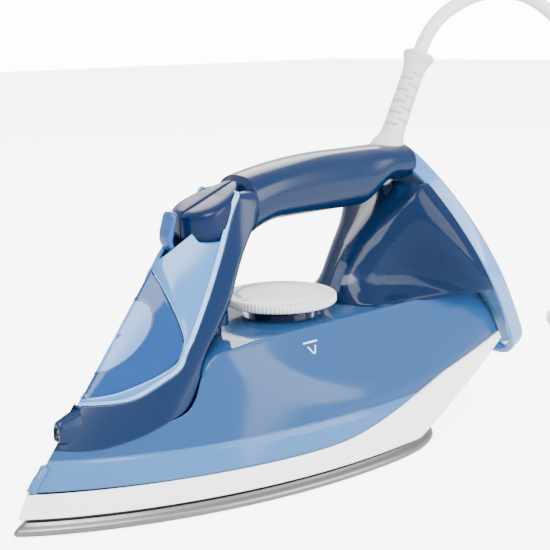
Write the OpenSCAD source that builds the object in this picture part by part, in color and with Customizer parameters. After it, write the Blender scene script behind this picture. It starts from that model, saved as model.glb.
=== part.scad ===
// Steam iron with a see-through water tank, a closed handle and a textile cord.
// Lengths are in millimetres. x runs back from the soleplate's nose, z up from the table.

/* [Overall] */
// Length from the nose to the back of the heel
iron_len = 302; // [298:1:306]
// Height of the heel rim's top
iron_h = 152; // [148:1:156]
// Wall of the moulded shells
wall = 2.4; // [2:0.2:2.8]

/* [Soleplate] */
// Length of the soleplate
sole_len = 230; // [226:1:234]
// Width of the soleplate
sole_w = 114; // [110:1:116]
// Thickness of the soleplate
sole_t = 6; // [5:0.5:6.5]
// Radius of a steam vent
vent_r = 1.2; // [0.8:0.1:1.4]

/* [Body] */
// Run back of the nose line for each millimetre of rise
nose_rake = 0.77; // [0.74:0.01:0.8]
// Height of the tank's deck under the dial
deck_z = 71; // [70:0.5:72]
// Lean of the heel plane from the vertical
heel_lean = 27.4; // [26:0.2:29]
// Depth of the heel rim's band
rim_depth = 10; // [8:0.5:11]

/* [Controls] */
// Diameter of the temperature dial
dial_d = 57; // [52:1:58]
// Thickness of the temperature dial
dial_t = 4.4; // [4:0.2:5]
// Travel of a push button
press = 3.5; // [2:0.5:4]
// Radius of the lever's arc at its tab
lever_r = 18.4; // [18:0.1:18.8]

/* [Cord] */
// Diameter of the textile cord
cord_d = 7.6; // [7:0.2:7.6]
// Length of the cord guard
guard_len = 56; // [50:1:60]
// Lean of the cord guard from the vertical
guard_lean = 27.4; // [26:0.2:29]

/* [Hidden] */
$fn = 48;

half_w = sole_w / 2;
wide_x = 0.765 * sole_len;          // where the soleplate is widest
skirt_z = sole_t + 2;               // underside of the skirt
nose_x = 8;                         // tip of the body at the skirt's top edge
nose_z = 16.5;
rake = atan(nose_rake);             // lean of the front ridge from the vertical
heel_z = 32;                        // lowest edge of the heel rim
heel_top_x = iron_len - (iron_h - heel_z) * tan(heel_lean);
heel_half = 46.3;                   // half width of the heel rim
dial_x = 154.5;
dial_z = deck_z + 6.1;               // underside of the dial
dial_bore = 3.06;                   // running fit for the dial's shaft
shaft_r = 3;
button_x = 94;                      // front of the two buttons
button_len = 33;
button_half = 15.5;
button_base = 116;
pump_x = 106;
pump_y = 8.2;
pump_r = 6.4;
pump_z = 76;
pump_top = 103;
stem_r = 2.5;
pivot_z = 100;                      // the lever's pivot on the front ridge
pivot_x = 74.4;
filler_x = 74.5;                    // foot of the filler's neck
filler_z = 57.5;
hinge_x = 38.8;                     // the filler door's pin
hinge_z = 55;
guard_x = 233;
guard_z = 146;
cord_r = cord_d / 2;
coil_x = 488;
coil_r = 45.6;                        // middle of the coil's turns
coil_turn = coil_r + cord_d;        // the outermost turn
coil_half = cord_d * 1.5;
coil_h = cord_d * 1.88;
plug_r = 17.5;

// The cord's path from inside the guard to the coil
ROUTE = [[248, 0, 175], [253, 0, 185], [258, 0, 194.5], [263, 0, 203], [271, 0, 211.5], [281, 0, 218],
  [293, 0, 223], [306, -1, 227], [320, -4, 229], [334, -8, 228], [347, -13, 223], [359, -19, 213],
  [368, -25, 199], [374, -31, 181], [377.5, -36, 160], [379, -40, 138], [379.5, -43.5, 115],
  [380, -46.5, 92], [380.5, -49, 70], [382, -51, 50], [385.5, -52.4, 32], [391.5, -53, 17.5],
  [400, -53.2, 8.4], [411, -53.2, 4.6], [424, -53.2, 3.8], [440, -53.2, 3.8], [456, -53.2, 3.8], [472, -53.2, 3.8]];
PLUG_ROUTE = [[488, -53.2, 11.4], [501, -53.2, 11.8], [514, -53.2, 13], [526, -53.2, 15],
  [536, -53.2, 16.8], [545.6, -53.2, 17.5]];

function clamp(v) = min(1, max(0, v));
function blend(a, b, t) = a + (b - a) * t;
function smooth_min(a, b, k) = -k * ln(exp(-a / k) + exp(-b / k));
// The plan of the nose: a power of a parabola, 0 at the tip and 1 at the widest station
function plan(t) = pow(1 - pow(1 - clamp(t), 2), 0.88);
function tip_x(z) = nose_x + nose_rake * (z - nose_z);
function rear_w(x) = half_w - 0.0008 * pow(max(0, x - wide_x), 2);
// Half width of the body's side: it leans in as it rises
function side_y(x, z) = (rear_w(x) - 1 - 0.19 * (z - skirt_z))
  * plan((x - tip_x(z)) / (wide_x - tip_x(z)));
// Half width of the sloping shoulder between the side's ridge and the deck
function shoulder_y(z) = 30 + 17 * pow(max(0, 72 - z) / 27, 1.2);
function tank_y(x, z) = smooth_min(side_y(x, z), shoulder_y(z), 1.6);
// The front post closes behind the buttons at this station
function post_back(z) = z < 88 ? 121 + 0.09 * pow(88 - z, 2) : 121 + 0.68 * (z - 88);
function post_y(x, z) = let (r = clamp((x - 90) / (post_back(z) - 90)))
  smooth_min(side_y(x, z), 24 * pow(1 - pow(r, 3), 0.34), 1.2);
function heel_x(z) = heel_top_x + (iron_h - z) * tan(heel_lean);
// Half width of the heel arch: a power of a sine above, a round corner below
function heel_y(z) = z > 60 ? heel_half * pow(sin(90 * clamp((iron_h - z) / (iron_h - 60))), 0.63)
  : z > 46 ? heel_half : heel_half - 14 + sqrt(max(0, 196 - pow(46 - z, 2)));
// The front edge of the rear pillar
function pillar_x(z) = z < 100 ? 186 + 16 * pow(max(0, (z - 71) / 29), 1.5) : 202 + 1.05 * (z - 100);
// Half width of the rear pillar: a round front, a neck, and a flare to the heel arch
function pillar_y(x, z) = let (neck = 15 + 13 * pow(clamp((86 - z) / 15), 2),
  n = neck * pow(1 - pow(1 - clamp((x - pillar_x(z)) / 18), 2), 0.5),
  s = max(0, heel_x(z) - rim_depth - x) / 27)
  n + max(0, heel_y(z) - 1 - n) / (1 + pow(s, 3));
// Where the shells end against the heel rim's front edge
function shell_end(z) = heel_x(z) - rim_depth / cos(heel_lean) - 0.6;
function drawn_back(x, z) = x + (shell_end(z) - shell_end(deck_z)) * pow(max(0, (x - 198) / 72), 2);
function skirt_low(x) = skirt_z + 0.385 * max(0, x - 198);
function skirt_top(x) = 17.8 + 2.2 * ln(1 + exp((x - 152) / 9));

SEAM = [[20.6, 34], [36.8, 33.5], [53, 37], [65.5, 41.6], [74, 44.8], [79, 50], [83, 58]];
PANEL = [[32.4, 51.2], [47, 52.2], [56, 54.8], [68, 59.2], [76.8, 64], [81.8, 72], [86, 80],
  [92.4, 92], [100, 106], [107.5, 121], [113, 131], [120, 139.5], [131, 142.6]];
WINDOW = [[36, 53.2], [47, 54.6], [56, 57.2], [67, 61.4], [75.2, 66.2], [79.8, 74], [80.2, 82],
  [79, 92], [77.8, 99.6], [77, 105], [78.6, 108]];

// A point a share t of the way along a list of points, counted in steps
function along(list, t) = let (k = min(len(list) - 2, floor(t * (len(list) - 1))))
  blend(list[k], list[k + 1], t * (len(list) - 1) - k);

// A closed shell between two grids of points; (next row) x (next column) points outwards
module slab(outer, inner, wrap_rows = false, wrap_cols = false) {
  n = len(outer);
  m = len(outer[0]);
  function id(k, i, j) = k * n * m + (i % n) * m + (j % m);
  rows = wrap_rows ? n : n - 1;
  cols = wrap_cols ? m : m - 1;
  skins = [for (k = [0, 1], i = [0 : rows - 1], j = [0 : cols - 1])
    let (q = [id(k, i, j), id(k, i + 1, j), id(k, i + 1, j + 1), id(k, i, j + 1)])
    k == 0 ? q : [q[3], q[2], q[1], q[0]]];
  row_ends = wrap_rows ? [] : [for (i = [0, n - 1], j = [0 : cols - 1])
    let (q = [id(0, i, j), id(0, i, j + 1), id(1, i, j + 1), id(1, i, j)])
    i == 0 ? q : [q[3], q[2], q[1], q[0]]];
  col_ends = wrap_cols ? [] : [for (i = [0 : rows - 1], j = [0, m - 1])
    let (q = [id(0, i + 1, j), id(0, i, j), id(1, i, j), id(1, i + 1, j)])
    j == 0 ? q : [q[3], q[2], q[1], q[0]]];
  quads = concat(skins, row_ends, col_ends);
  polyhedron([for (g = [outer, inner], r = g, p = r) p],
    [for (q = quads) each [[q[2], q[1], q[0]], [q[3], q[2], q[0]]]]);
}

// A round tube swept along a path, with a ring at each point
module tube(path, r, sides) {
  n = len(path);
  function dir(i) = let (d = path[min(n - 1, i + 1)] - path[max(0, i - 1)]) d / norm(d);
  function across(d) = let (c = cross(d, abs(d[1]) > 0.9 ? [0, 0, 1] : [0, 1, 0])) c / norm(c);
  points = [for (i = [0 : n - 1]) let (d = dir(i), a = across(d), b = cross(d, a))
    for (k = [0 : sides - 1]) path[i] + r * (a * cos(360 * k / sides) + b * sin(360 * k / sides))];
  walls = [for (i = [0 : n - 2], k = [0 : sides - 1]) let (k2 = (k + 1) % sides)
    each [[i * sides + k, (i + 1) * sides + k2, i * sides + k2],
      [i * sides + k, (i + 1) * sides + k, (i + 1) * sides + k2]]];
  start = [[for (k = [0 : sides - 1]) k]];
  end = [[for (k = [0 : sides - 1]) n * sides - 1 - k]];
  polyhedron(points, concat(walls, start, end));
}

function smooth_path(p, steps) = [for (i = [0 : len(p) - 2], s = [0 : steps - 1]) let (t = s / steps,
  a = p[max(0, i - 1)], b = p[i], c = p[i + 1], d = p[min(len(p) - 1, i + 2)])
  0.5 * (2 * b + (c - a) * t + (2 * a - 5 * b + 4 * c - d) * t * t
    + (3 * b - a - 3 * c + d) * t * t * t), p[len(p) - 1]];

// The soleplate's outline, drawn in by an inset
function half_plan(inset) = concat(
  [for (i = [1 : 26]) let (t = i / 26) [inset * 1.6 + t * (wide_x - inset * 1.6),
    (half_w - inset) * plan(t)]],
  [for (i = [1 : 14]) let (a = 90 * i / 14) [wide_x + (sole_len - wide_x - inset) * pow(sin(a), 0.9),
    (half_w - inset) * pow(max(0.0001, cos(a)), 0.45)]]);
module plan_shape(inset) {
  h = half_plan(inset);
  polygon(concat([[inset * 1.6, 0]], h, [for (i = [len(h) - 2 : -1 : 0]) [h[i][0], -h[i][1]]]));
}

// A level cut through the body, as an outline from x0 back to x1
module level(z, x0, x1, inset) {
  xs = [for (i = [0 : 30]) blend(x0, x1, pow(i / 30, 1.3))];
  polygon(concat([for (x = xs) [x, max(0.4, tank_y(x, z) - inset)]],
    [for (i = [30 : -1 : 0]) [xs[i], -max(0.4, tank_y(xs[i], z) - inset)]]));
}

// Puts a drawing in the heel plane: x across, y up the plane, z out of the back
module in_heel() {
  translate([heel_top_x, 0, iron_h]) rotate([0, -heel_lean, 0]) rotate([90, 0, 90]) children();
}
// Puts a drawing on the front ridge at the lever's pivot: y up the ridge, z out of the front
module at_pivot() {
  translate([pivot_x, 0, pivot_z]) rotate([0, rake, 0]) rotate([90, 0, -90]) children();
}
module on_guard() {
  translate([guard_x, 0, guard_z]) rotate([0, guard_lean, 0]) children();
}
// The way through the shells for the cord guard and its socket
module guard_way(r) on_guard() translate([0, 0, -9]) cylinder(h = 60, r = r);
function heel_outline(inset) = [for (i = [0 : 30]) let (z = blend(iron_h - 0.02, heel_z, pow(i / 30, 1.25)),
  rise = z > 100 ? -inset * pow((z - 100) / 52, 2) : z < 46 ? inset * (46 - z) / 14 : 0)
  [max(0.05, heel_y(z) - inset), rise - (iron_h - z) / cos(heel_lean)]];
module heel_shape(inset) {
  h = heel_outline(inset);
  polygon(concat(h, [for (i = [len(h) - 1 : -1 : 0]) [-h[i][0], h[i][1]]]));
}

module soleplate() color("silver") {
  difference() {
    union() {
      linear_extrude(1) plan_shape(1);
      translate([0, 0, 0.9]) linear_extrude(2.3) plan_shape(0);
      translate([0, 0, 3.1]) linear_extrude(1.4) plan_shape(1.2);
      translate([0, 0, 4.4]) linear_extrude(sole_t - 4.4) plan_shape(3);
    }
    for (i = [0 : 8], s = [-1, 1]) translate([24 + 15 * i, s * 0.72 * half_w * plan((10 + 15 * i) / wide_x), -1])
      cylinder(h = 4.6, r = vent_r);
    for (i = [0 : 3]) translate([22 + 11 * i, 0, -1]) cylinder(h = 4.6, r = vent_r);
  }
}
module heating_element() color("dimgray") {
  arm_y = 24;
  for (s = [-1, 1]) translate([78, s * arm_y, 12.4]) rotate([0, 90, 0]) cylinder(h = 110, r = 3.4);
  translate([78, 0, 12.4]) rotate([0, 0, 90]) rotate_extrude(angle = 180) translate([arm_y, 0]) circle(r = 3.4);
  for (s = [-1, 1]) translate([188, s * arm_y, 12.4]) cylinder(h = 12, r = 2.2);
}
module steam_chamber_cover() color("gainsboro") difference() {
  translate([0, 0, sole_t]) linear_extrude(2.4) polygon([[46, 0], [66, 16], [92, 30], [150, 38],
    [200, 38], [206, 30], [206, -30], [200, -38], [150, -38], [92, -30], [66, -16]]);
  for (p = [[60, 0], [120, 31], [120, -31], [196, 33], [196, -33]]) translate([p[0], p[1], sole_t - 1])
    cylinder(h = 5, r = 1.7);
}
module chamber_screws() color("gray") for (p = [[60, 0], [120, 31], [120, -31], [196, 33], [196, -33]])
  translate([p[0], p[1], sole_t]) {
    cylinder(h = 2.4, r = 1.6);
    translate([0, 0, 2.4]) difference() {
      cylinder(h = 1.8, r = 3);
      translate([-2.2, -0.35, 1]) cube([4.4, 0.7, 1]);
    }
  }
module thermostat() color("tan") {
  translate([dial_x - 13, -7, sole_t + 2.4]) cube([26, 14, 6]);
  translate([dial_x, 0, sole_t + 8.4]) cylinder(h = 3, r = 6);
  for (s = [-1, 1]) translate([dial_x + s * 9 - 2, -3, sole_t + 8.4]) cube([4, 6, 6]);
}
module thermal_fuse() color("wheat") {
  translate([112, 0, sole_t + 5.6]) rotate([0, 90, 0]) cylinder(h = 18, r = 3);
  for (x = [106, 130]) translate([x, 0, sole_t + 5.6]) rotate([0, 90, 0]) cylinder(h = 6, r = 0.8);
}
module heat_frame() color("dimgray") difference() {
  translate([0, 0, sole_t]) linear_extrude(skirt_z - sole_t + 3) plan_shape(4.5);
  translate([0, 0, sole_t - 1]) linear_extrude(9) plan_shape(8.5);
}

// The skirt follows the plan round the nose from heel to heel
function skirt_row(u, inset) = let (a = abs(u), s = u < 0 ? -1 : 1, x = drawn_back(2.4 + 266 * pow(a, 1.35), 42),
  low = skirt_low(x), xt = drawn_back(7.2 + 263 * pow(a, 1.35), 50), top = skirt_top(xt), tuck = inset * 1.4 * (1 - a))
  [for (k = [0 : 2]) let (z = blend(low, top, k / 2), xx = blend(x, xt, k / 2) + tuck,
    tipx = blend(2.4, 7.2, k / 2) + inset * 1.4, w = rear_w(xx) - 0.3 - 0.19 * (z - skirt_z) - inset)
    [xx, s * max(0, w) * plan((xx - tipx) / (wide_x - tipx)), z]];
module skirt() color("white") {
  us = [for (i = [36 : -1 : -36]) i / 36];
  slab([for (u = us) skirt_row(u, 0)], [for (u = us) skirt_row(u, wall)]);
}
// Closes the body's underside behind the soleplate
function base_w(x) = rear_w(x) - 1.1 - wall - 0.19 * (skirt_low(x) - skirt_z + 3.2);
module heel_base() color("white") {
  xs = [214, 226, 240, 255, 270, 284];
  slab([for (x = xs) [for (k = [-2 : 2]) [x, k / 2 * base_w(x), skirt_low(x) + 3.2]]],
    [for (x = xs) [for (k = [-2 : 2]) [x, k / 2 * base_w(x), skirt_low(x) + 1.2]]]);
}
module tank_floor() color("lightsteelblue", 0.5) difference() {
  translate([0, 0, 26]) linear_extrude(2) level(30, 26, 226, wall + 0.8);
  translate([dial_x, 0, 20]) cylinder(h = 12, r = 6.2);
  for (s = [-1, 1]) translate([188, s * 24, 20]) cylinder(h = 12, r = 4);
  translate([88.8, 12, 20]) cylinder(h = 12, r = 3.4);
}

// The tank's wall, from the skirt up to the handle's seam and the deck
function tank_row(u, inset) = let (a = abs(u), s = u < 0 ? -1 : 1, x0 = 8.2 + 261 * pow(a, 1.35),
  low = [x0, skirt_top(drawn_back(x0, 50)) + 0.6],
  high = a < 0.42 ? along(SEAM, a / 0.42) : along([[83, 58], [88, 65], [98, 69], [140, deck_z - 1],
    [190, deck_z - 1], [235, deck_z - 1], [271, deck_z - 1]], (a - 0.42) / 0.58))
  [for (k = [0 : 6]) let (p = blend(low, high, k / 6), share = min(1, a * 6),
    x = max(drawn_back(p[0], p[1]), tip_x(p[1])) + inset * 1.2 * (1 - share))
    [x, a == 0 ? 0 : s * max(a * 3, tank_y(x, p[1]) - inset * share), p[1]]];
module water_tank() color("cornflowerblue", 0.5) {
  us = [for (i = [44 : -1 : -44]) i / 44];
  slab([for (u = us) tank_row(u, 0)], [for (u = us) tank_row(u, wall)]);
}
module tank_deck() color("cornflowerblue", 0.5) difference() {
  union() {
    translate([0, 0, deck_z - wall]) linear_extrude(wall) level(deck_z - 0.6, 104, 266, wall + 0.5);
    translate([dial_x, 0, deck_z - 6]) cylinder(h = 11, r = 12);
  }
  translate([dial_x, 0, deck_z - 8]) cylinder(h = 16, r = dial_bore);
  for (s = [-1, 1]) translate([pump_x, s * pump_y, deck_z - 8]) cylinder(h = 12, r = 3.4);
  for (s = [-1, 1]) translate([223, s * 6.4, deck_z - 8]) cylinder(h = 12, r = 3);
}
module dial_sleeve() color("lightsteelblue", 0.5) translate([dial_x, 0, 24]) difference() {
  cylinder(h = deck_z - 30, r = 6);
  translate([0, 0, -1]) cylinder(h = deck_z - 28, r = 4.4);
}

// The dark band and post on one side, from the panel's edge back to the seam
function band_row(u, s, inset) = let (front = along(PANEL, u * 10 / 12),
  back = u < 0.5 ? along(SEAM, u / 0.5) : along([[83, 58], [95, 69], [110, 76], [117, 84], [119.5, 90],
    [124, 97], [131, 108], [140, 121]], (u - 0.5) / 0.5))
  [for (k = [0 : 6]) let (p = blend(front, back, k / 6), tip = tip_x(p[1]) + inset * 1.2,
    x = max(p[0], tip)) [x, s * (u == 0 ? -0.25 : max(0.05, post_y(x, p[1]) - inset * min(1, u * 10))), p[1]]];
module band_side(s) {
  us = [for (i = [0 : 26]) i / 26];
  rows = s > 0 ? us : [for (i = [26 : -1 : 0]) i / 26];
  slab([for (u = rows) band_row(u, s, 0)], [for (u = rows) band_row(u, s, wall)]);
}
function grip_top(x) = 150 - 0.0018 * pow(max(0, 190 - x), 2);
function grip_low(x) = x < 150 ? 120 - 0.012 * pow(150 - x, 2) : x < 205 ? 120 : 120 + 11 * clamp((x - 205) / 20);
function grip_ring(x, inset) = let (top = grip_top(x) - inset, low = grip_low(x) + inset,
  w = 15.5 + 1.2 * clamp((x - 200) / 40) - inset)
  [for (k = [0 : 19]) let (a = -360 * k / 20, c = cos(a), d = sin(a))
    [x + (x < 135 ? (135 - x) * 0.45 * d : 0), w * sign(c) * pow(abs(c), 0.75),
      (top + low) / 2 + (top - low) / 2 * sign(d) * pow(abs(d), 0.8)]];
module handle_shell() color("midnightblue") difference() {
  union() {
    band_side(1);
    band_side(-1);
    xs = [124, 130, 138, 148, 162, 178, 194, 205, 215, 225, 234];
    slab([for (x = xs) grip_ring(x, 0)], [for (x = xs) grip_ring(x, wall)], wrap_cols = true);
  }
  translate([button_x, 0, button_base - press - 5]) linear_extrude(60) button_shape(0.5);
  translate([18, -3.8, 34.2]) cube([16, 7.6, 13.2]);
  translate([235, 0, 110]) cylinder(h = 30, r = 7);
  guard_way(12.5);
}
module handle_liner() color("steelblue", 0.6) {
  path = [[204, 118.6], [180, 118.6], [160, 118.6], [149, 118.4], [139, 115], [131, 108], [125, 100],
    [120.5, 92], [117.5, 84], [113, 75]];
  slab([for (p = path) [for (y = [-10, -4, 4, 10]) [p[0] + 1.2, y, p[1] - (abs(y) > 5 ? 0.4 : 1.2)]]],
    [for (p = path) [for (y = [-10, -4, 4, 10]) [p[0] + 0.5, y, p[1] + 0.9]]]);
}

// The pale front panel is a ring between the window and the handle's seam
function front_half(list, s, n) = [for (i = [0 : n]) let (p = along(list, i / n), z = p[1],
  y = i == 0 || i == n ? -0.25 : max(0.05, side_y(p[0], z))) [p[0], s * y, z]];
module panel_side(s) {
  n = 22;
  TOP = concat([for (i = [0 : 9]) PANEL[i]], [[101, 118], [93.6, 115]]);
  outer = [for (i = [0 : n]) let (a = front_half(WINDOW, s, n)[i], b = front_half(TOP, s, n)[i])
    [a, blend(a, b, 0.5), blend(a, b, 0.9)]];
  inner = [for (r = outer) [for (p = r) let (f = clamp(abs(p[1]) / 4))
    [p[0] + wall * (1 - f), p[1] - s * wall * f, p[2] - (1 - f) * 0.6]]];
  rows = s > 0 ? [for (i = [0 : n]) i] : [for (i = [n : -1 : 0]) i];
  slab([for (i = rows) outer[i]], [for (i = rows) inner[i]]);
}
module arc_block(r0, r1, a0, a1, z0, z1) translate([0, 0, z0]) rotate([0, 0, 90 - a1])
  rotate_extrude(angle = a1 - a0) translate([r0, 0]) square([r1 - r0, z1 - z0]);
module button_shape(grow) {
  n = 20;
  function w(t) = (button_half + grow) * (t < 0.35 ? pow(1 - pow(1 - t / 0.35, 2.2), 0.5)
    : pow(1 - pow((t - 0.35) / 0.65, 2), 0.7));
  polygon(concat([for (i = [0 : n]) let (t = i / n) [blend(-grow, button_len + grow, t), w(t)]],
    [for (i = [n - 1 : -1 : 1]) let (t = i / n) [blend(-grow, button_len + grow, t), -w(t)]]));
}
module front_panel() color("lightskyblue") difference() {
  union() {
    panel_side(-1);
    panel_side(1);
  }
  at_pivot() arc_block(15.6, 29, -19, 62, -40, 12);
  translate([button_x, 0, 90]) linear_extrude(70) button_shape(0.6);
}
module lever_bed() color("darkslateblue") at_pivot() arc_block(21, 24, -12, 30, -16.5, -13);
module in_filler() {
  translate([filler_x, 0, filler_z]) rotate([0, rake - 90, 0]) children();
}
module filler_neck() color("aliceblue", 0.6) in_filler() difference() {
  union() {
    cylinder(h = 8, r = 11);
    cylinder(h = 1.6, r = 12.4);
  }
  translate([0, 0, -1]) cylinder(h = 10, r = 9);
}
module filler_seal() color("whitesmoke") in_filler() translate([0, 0, 8]) difference() {
  cylinder(h = 1.2, r = 11);
  translate([0, 0, -1]) cylinder(h = 4, r = 9);
}
module spray_nozzle() color("midnightblue") difference() {
  union() {
    translate([23.4, -3.4, 34.6]) cube([10, 6.8, 9]);
    translate([23.4, 0, 43.6]) rotate([0, 90, 0]) cylinder(h = 10, r = 3.4);
  }
  translate([22, 0, 40.4]) rotate([0, 90, 0]) cylinder(h = 14, r = 2.3);
}
module nozzle_jet() color("goldenrod") translate([24.6, 0, 40.4]) rotate([0, 90, 0]) difference() {
  cylinder(h = 8, r = 2.25);
  translate([0, 0, -1]) cylinder(h = 4, r = 0.7);
}

// A pump: a closed barrel with a bore for the button's stem
module pump(s) translate([pump_x, s * pump_y, pump_z]) difference() {
  union() {
    cylinder(h = pump_top - pump_z, r = pump_r);
    translate([0, 0, -9]) cylinder(h = 10, r = 3);
    translate([-10, 0, 4]) rotate([0, 90, 0]) cylinder(h = 8, r = 2.2);
  }
  translate([0, 0, 4]) cylinder(h = 40, r = stem_r + 0.06);
}
module spray_pump() color("white") pump(-1);
module boost_pump() color("white") pump(1);
module spray_hose() color("gainsboro", 0.7) tube(smooth_path([[94.6, -8.2, 79.4], [90, -9, 72],
  [84, -8, 56], [70, -5, 46], [56, -2, 42], [44, 0, 40.4], [37, 0, 40.4], [33.4, 0, 40.4]], 3), 1.9, 8);
module boost_hose() color("gainsboro", 0.7) tube(smooth_path([[95.5, 8.2, 80], [90, 8.4, 77], [84, 10, 66],
  [84, 11, 50], [88, 12, 30], [92, 12, 14], [93, 12, 9]], 3), 1.9, 8);
module dosing_valve() color("white") at_pivot() difference() {
  translate([0, 0, -32]) cylinder(h = 14, r = 4.6);
  translate([0, 0, -26]) cylinder(h = 12, r = 3.06);
}

function pillar_ring(z, inset) = let (x0 = pillar_x(z) + inset, x1 = shell_end(z) - inset, n = 14)
  concat([for (i = [0 : n]) let (x = blend(x0, x1, (1 - cos(180 * i / n)) / 2))
    [x, i == 0 ? 0 : -max(0.3, pillar_y(x, z) - inset), z]],
    [for (i = [n : -1 : 1]) let (x = blend(x0, x1, (1 - cos(180 * i / n)) / 2))
    [x, max(0.3, pillar_y(x, z) - inset), z]]);
module rear_housing() color("cornflowerblue", 0.5) {
  zs = [129.5, 120, 110, 100, 90, 82, 76, deck_z + 0.2];
  difference() {
    slab([for (z = zs) pillar_ring(z, 0)], [for (z = zs) pillar_ring(z, wall)], wrap_cols = true);
    translate([235, 0, 118]) cylinder(h = 22, r = 7);
    guard_way(12.5);
  }
}
module heel_rim() color("lightskyblue") difference() {
  in_heel() translate([0, 0, -rim_depth]) difference() {
    linear_extrude(rim_depth) heel_shape(0);
    translate([0, 0, -1]) linear_extrude(rim_depth + 2) heel_shape(3.2);
  }
  guard_way(12.5);
}
module rear_cover() color("steelblue") difference() {
  in_heel() difference() {
    translate([0, 0, -6]) linear_extrude(2.6) heel_shape(3.5);
    for (p = [[0, -30], [-30, -112], [30, -112]]) translate([p[0], p[1], -8]) cylinder(h = 8, r = 1.7);
  }
  guard_way(12.5);
}
module cover_screws() color("gray") in_heel() for (p = [[0, -30], [-30, -112], [30, -112]])
  translate([p[0], p[1], -9]) {
    cylinder(h = 5.8, r = 1.6);
    translate([0, 0, 5.6]) difference() {
      cylinder(h = 1.6, r = 3.1);
      translate([-2.2, -0.35, 1]) cube([4.4, 0.7, 1]);
    }
  }
module terminal_block() color("ivory") {
  translate([222, -9, 84]) cube([18, 18, 12]);
  for (y = [-5.4, 0, 5.4]) translate([231, y, 96]) cylinder(h = 2, r = 1.9);
}
module lead_wires() color("firebrick") for (s = [-1, 1]) tube(smooth_path([[228, s * 5.4, 83.4],
  [223.6, s * 6.2, 73], [221, s * 7, 66], [210, s * 14, 50], [192, s * 22.6, 38], [188, s * 24, 26]], 3), 1.3, 8);
module lamp_holder() color("lightsteelblue") translate([206, -6, 74]) difference() {
  cube([12, 12, 12]);
  translate([-1, 6, 6]) rotate([0, 90, 0]) cylinder(h = 9, r = 2.6);
}
module indicator_lamp() color("orangered") translate([200, 0, 80]) rotate([0, 90, 0]) {
  cylinder(h = 14, r = 2.5);
  sphere(r = 2.5);
}
module lamp_lens() color("mistyrose", 0.6) translate([191.6, -2, 76]) rotate([0, 24, 0]) cube([3, 4, 16]);
module cord_clamp() color("ivory") translate([238, 0, 106]) difference() {
  translate([-7.5, -7, 0]) cube([15, 14, 6]);
  translate([0, 0, -1]) cylinder(h = 9, r = cord_r - 0.3);
}
// The socket holds the guard's ball
module cord_socket() color("steelblue") on_guard() translate([0, 0, -8]) difference() {
  cylinder(h = 6, r = 12);
  translate([0, 0, 2]) cylinder(h = 10, r = 10.4);
  translate([0, 0, -1]) cylinder(h = 5, r = 8);
}
module cord_tail() color("whitesmoke") tube(smooth_path([[248, 0, 174.6], [242, 0, 163.4], [233, 0, 146],
  [230.8, 0, 141.7], [229.9, 0, 137.5], [231.5, 0, 132.5], [235.5, 0, 126.5], [238, 0, 120], [238, 0, 112], [238, 0, 105]], 3),
  cord_r - 0.7, 10);

module dial_knob() color("white") translate([dial_x, 0, dial_z]) {
  difference() {
    cylinder(h = dial_t, r = dial_d / 2, $fn = 72);
    translate([0, 0, -1]) cylinder(h = dial_t - 0.6, r = dial_d / 2 - 2.4);
    translate([-dial_d / 2 + 1.4, 0, dial_t - 0.5]) cylinder(h = 1, r = 0.8);
  }
  difference() {
    cylinder(h = dial_t - 1, r = 5);
    translate([0, 0, -1]) cylinder(h = dial_t + 1, r = shaft_r);
  }
}
module dial_shaft() color("lightgray") translate([dial_x, 0, sole_t + 11.7]) cylinder(h = dial_z + 2.6 - sole_t - 11.7, r = shaft_r);

// One of the two push buttons: half of the teardrop, with a sloping top and a stem
module button(s) {
  slope = atan(13 / button_len);
  difference() {
    translate([button_x, 0, button_base]) linear_extrude(40) intersection() {
      button_shape(0);
      translate([-1, s > 0 ? 0.3 : -30.3]) square([60, 30]);
    }
    translate([button_x, -40, 127.5]) rotate([0, -slope, 0]) translate([-20, 0, 0]) cube([90, 80, 60]);
    translate([button_x, 0, button_base - 1]) linear_extrude(7.1) intersection() {
      button_shape(-2.4);
      translate([-1, s > 0 ? 2.4 : -32.4]) square([60, 30]);
    }
  }
  translate([pump_x, s * pump_y, pump_top - 12]) cylinder(h = button_base - pump_top + 20, r = stem_r);
}
module spray_button() color("midnightblue") button(-1);
module boost_button() color("midnightblue") button(1);
module spring(s) tube([for (i = [0 : 50]) let (a = 360 * i / 10)
  [pump_x + 4 * cos(a), s * pump_y + 4 * sin(a), pump_top + 0.6 + 17 * i / 50]], 0.4, 6);
module spray_spring() color("silver") spring(-1);
module boost_spring() color("silver") spring(1);
// The lever's tab leans up the ridge in front of the buttons
module steam_lever() color("cornflowerblue", 0.7) at_pivot() {
  translate([-4, 0, 0]) rotate([90, 0, 90]) linear_extrude(8) polygon([[lever_r - 1.6, -17],
    [lever_r + 1.6, -17], [lever_r + 1.6, -3], [26, 1.6], [34, 4.4], [33, 9.6], [21, 5],
    [lever_r - 1.6, 0.6]]);
  difference() {
    translate([-4, -4, -17]) cube([8, lever_r + 3, 2.6]);
    translate([0, 0, -20]) cylinder(h = 8, r = 2.2);
  }
}
module lever_spindle() color("darkslateblue") at_pivot() translate([0, 0, -25.6]) {
  cylinder(h = 8.6, r = 3);
  cylinder(h = 11.2, r = 2.2);
}
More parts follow.
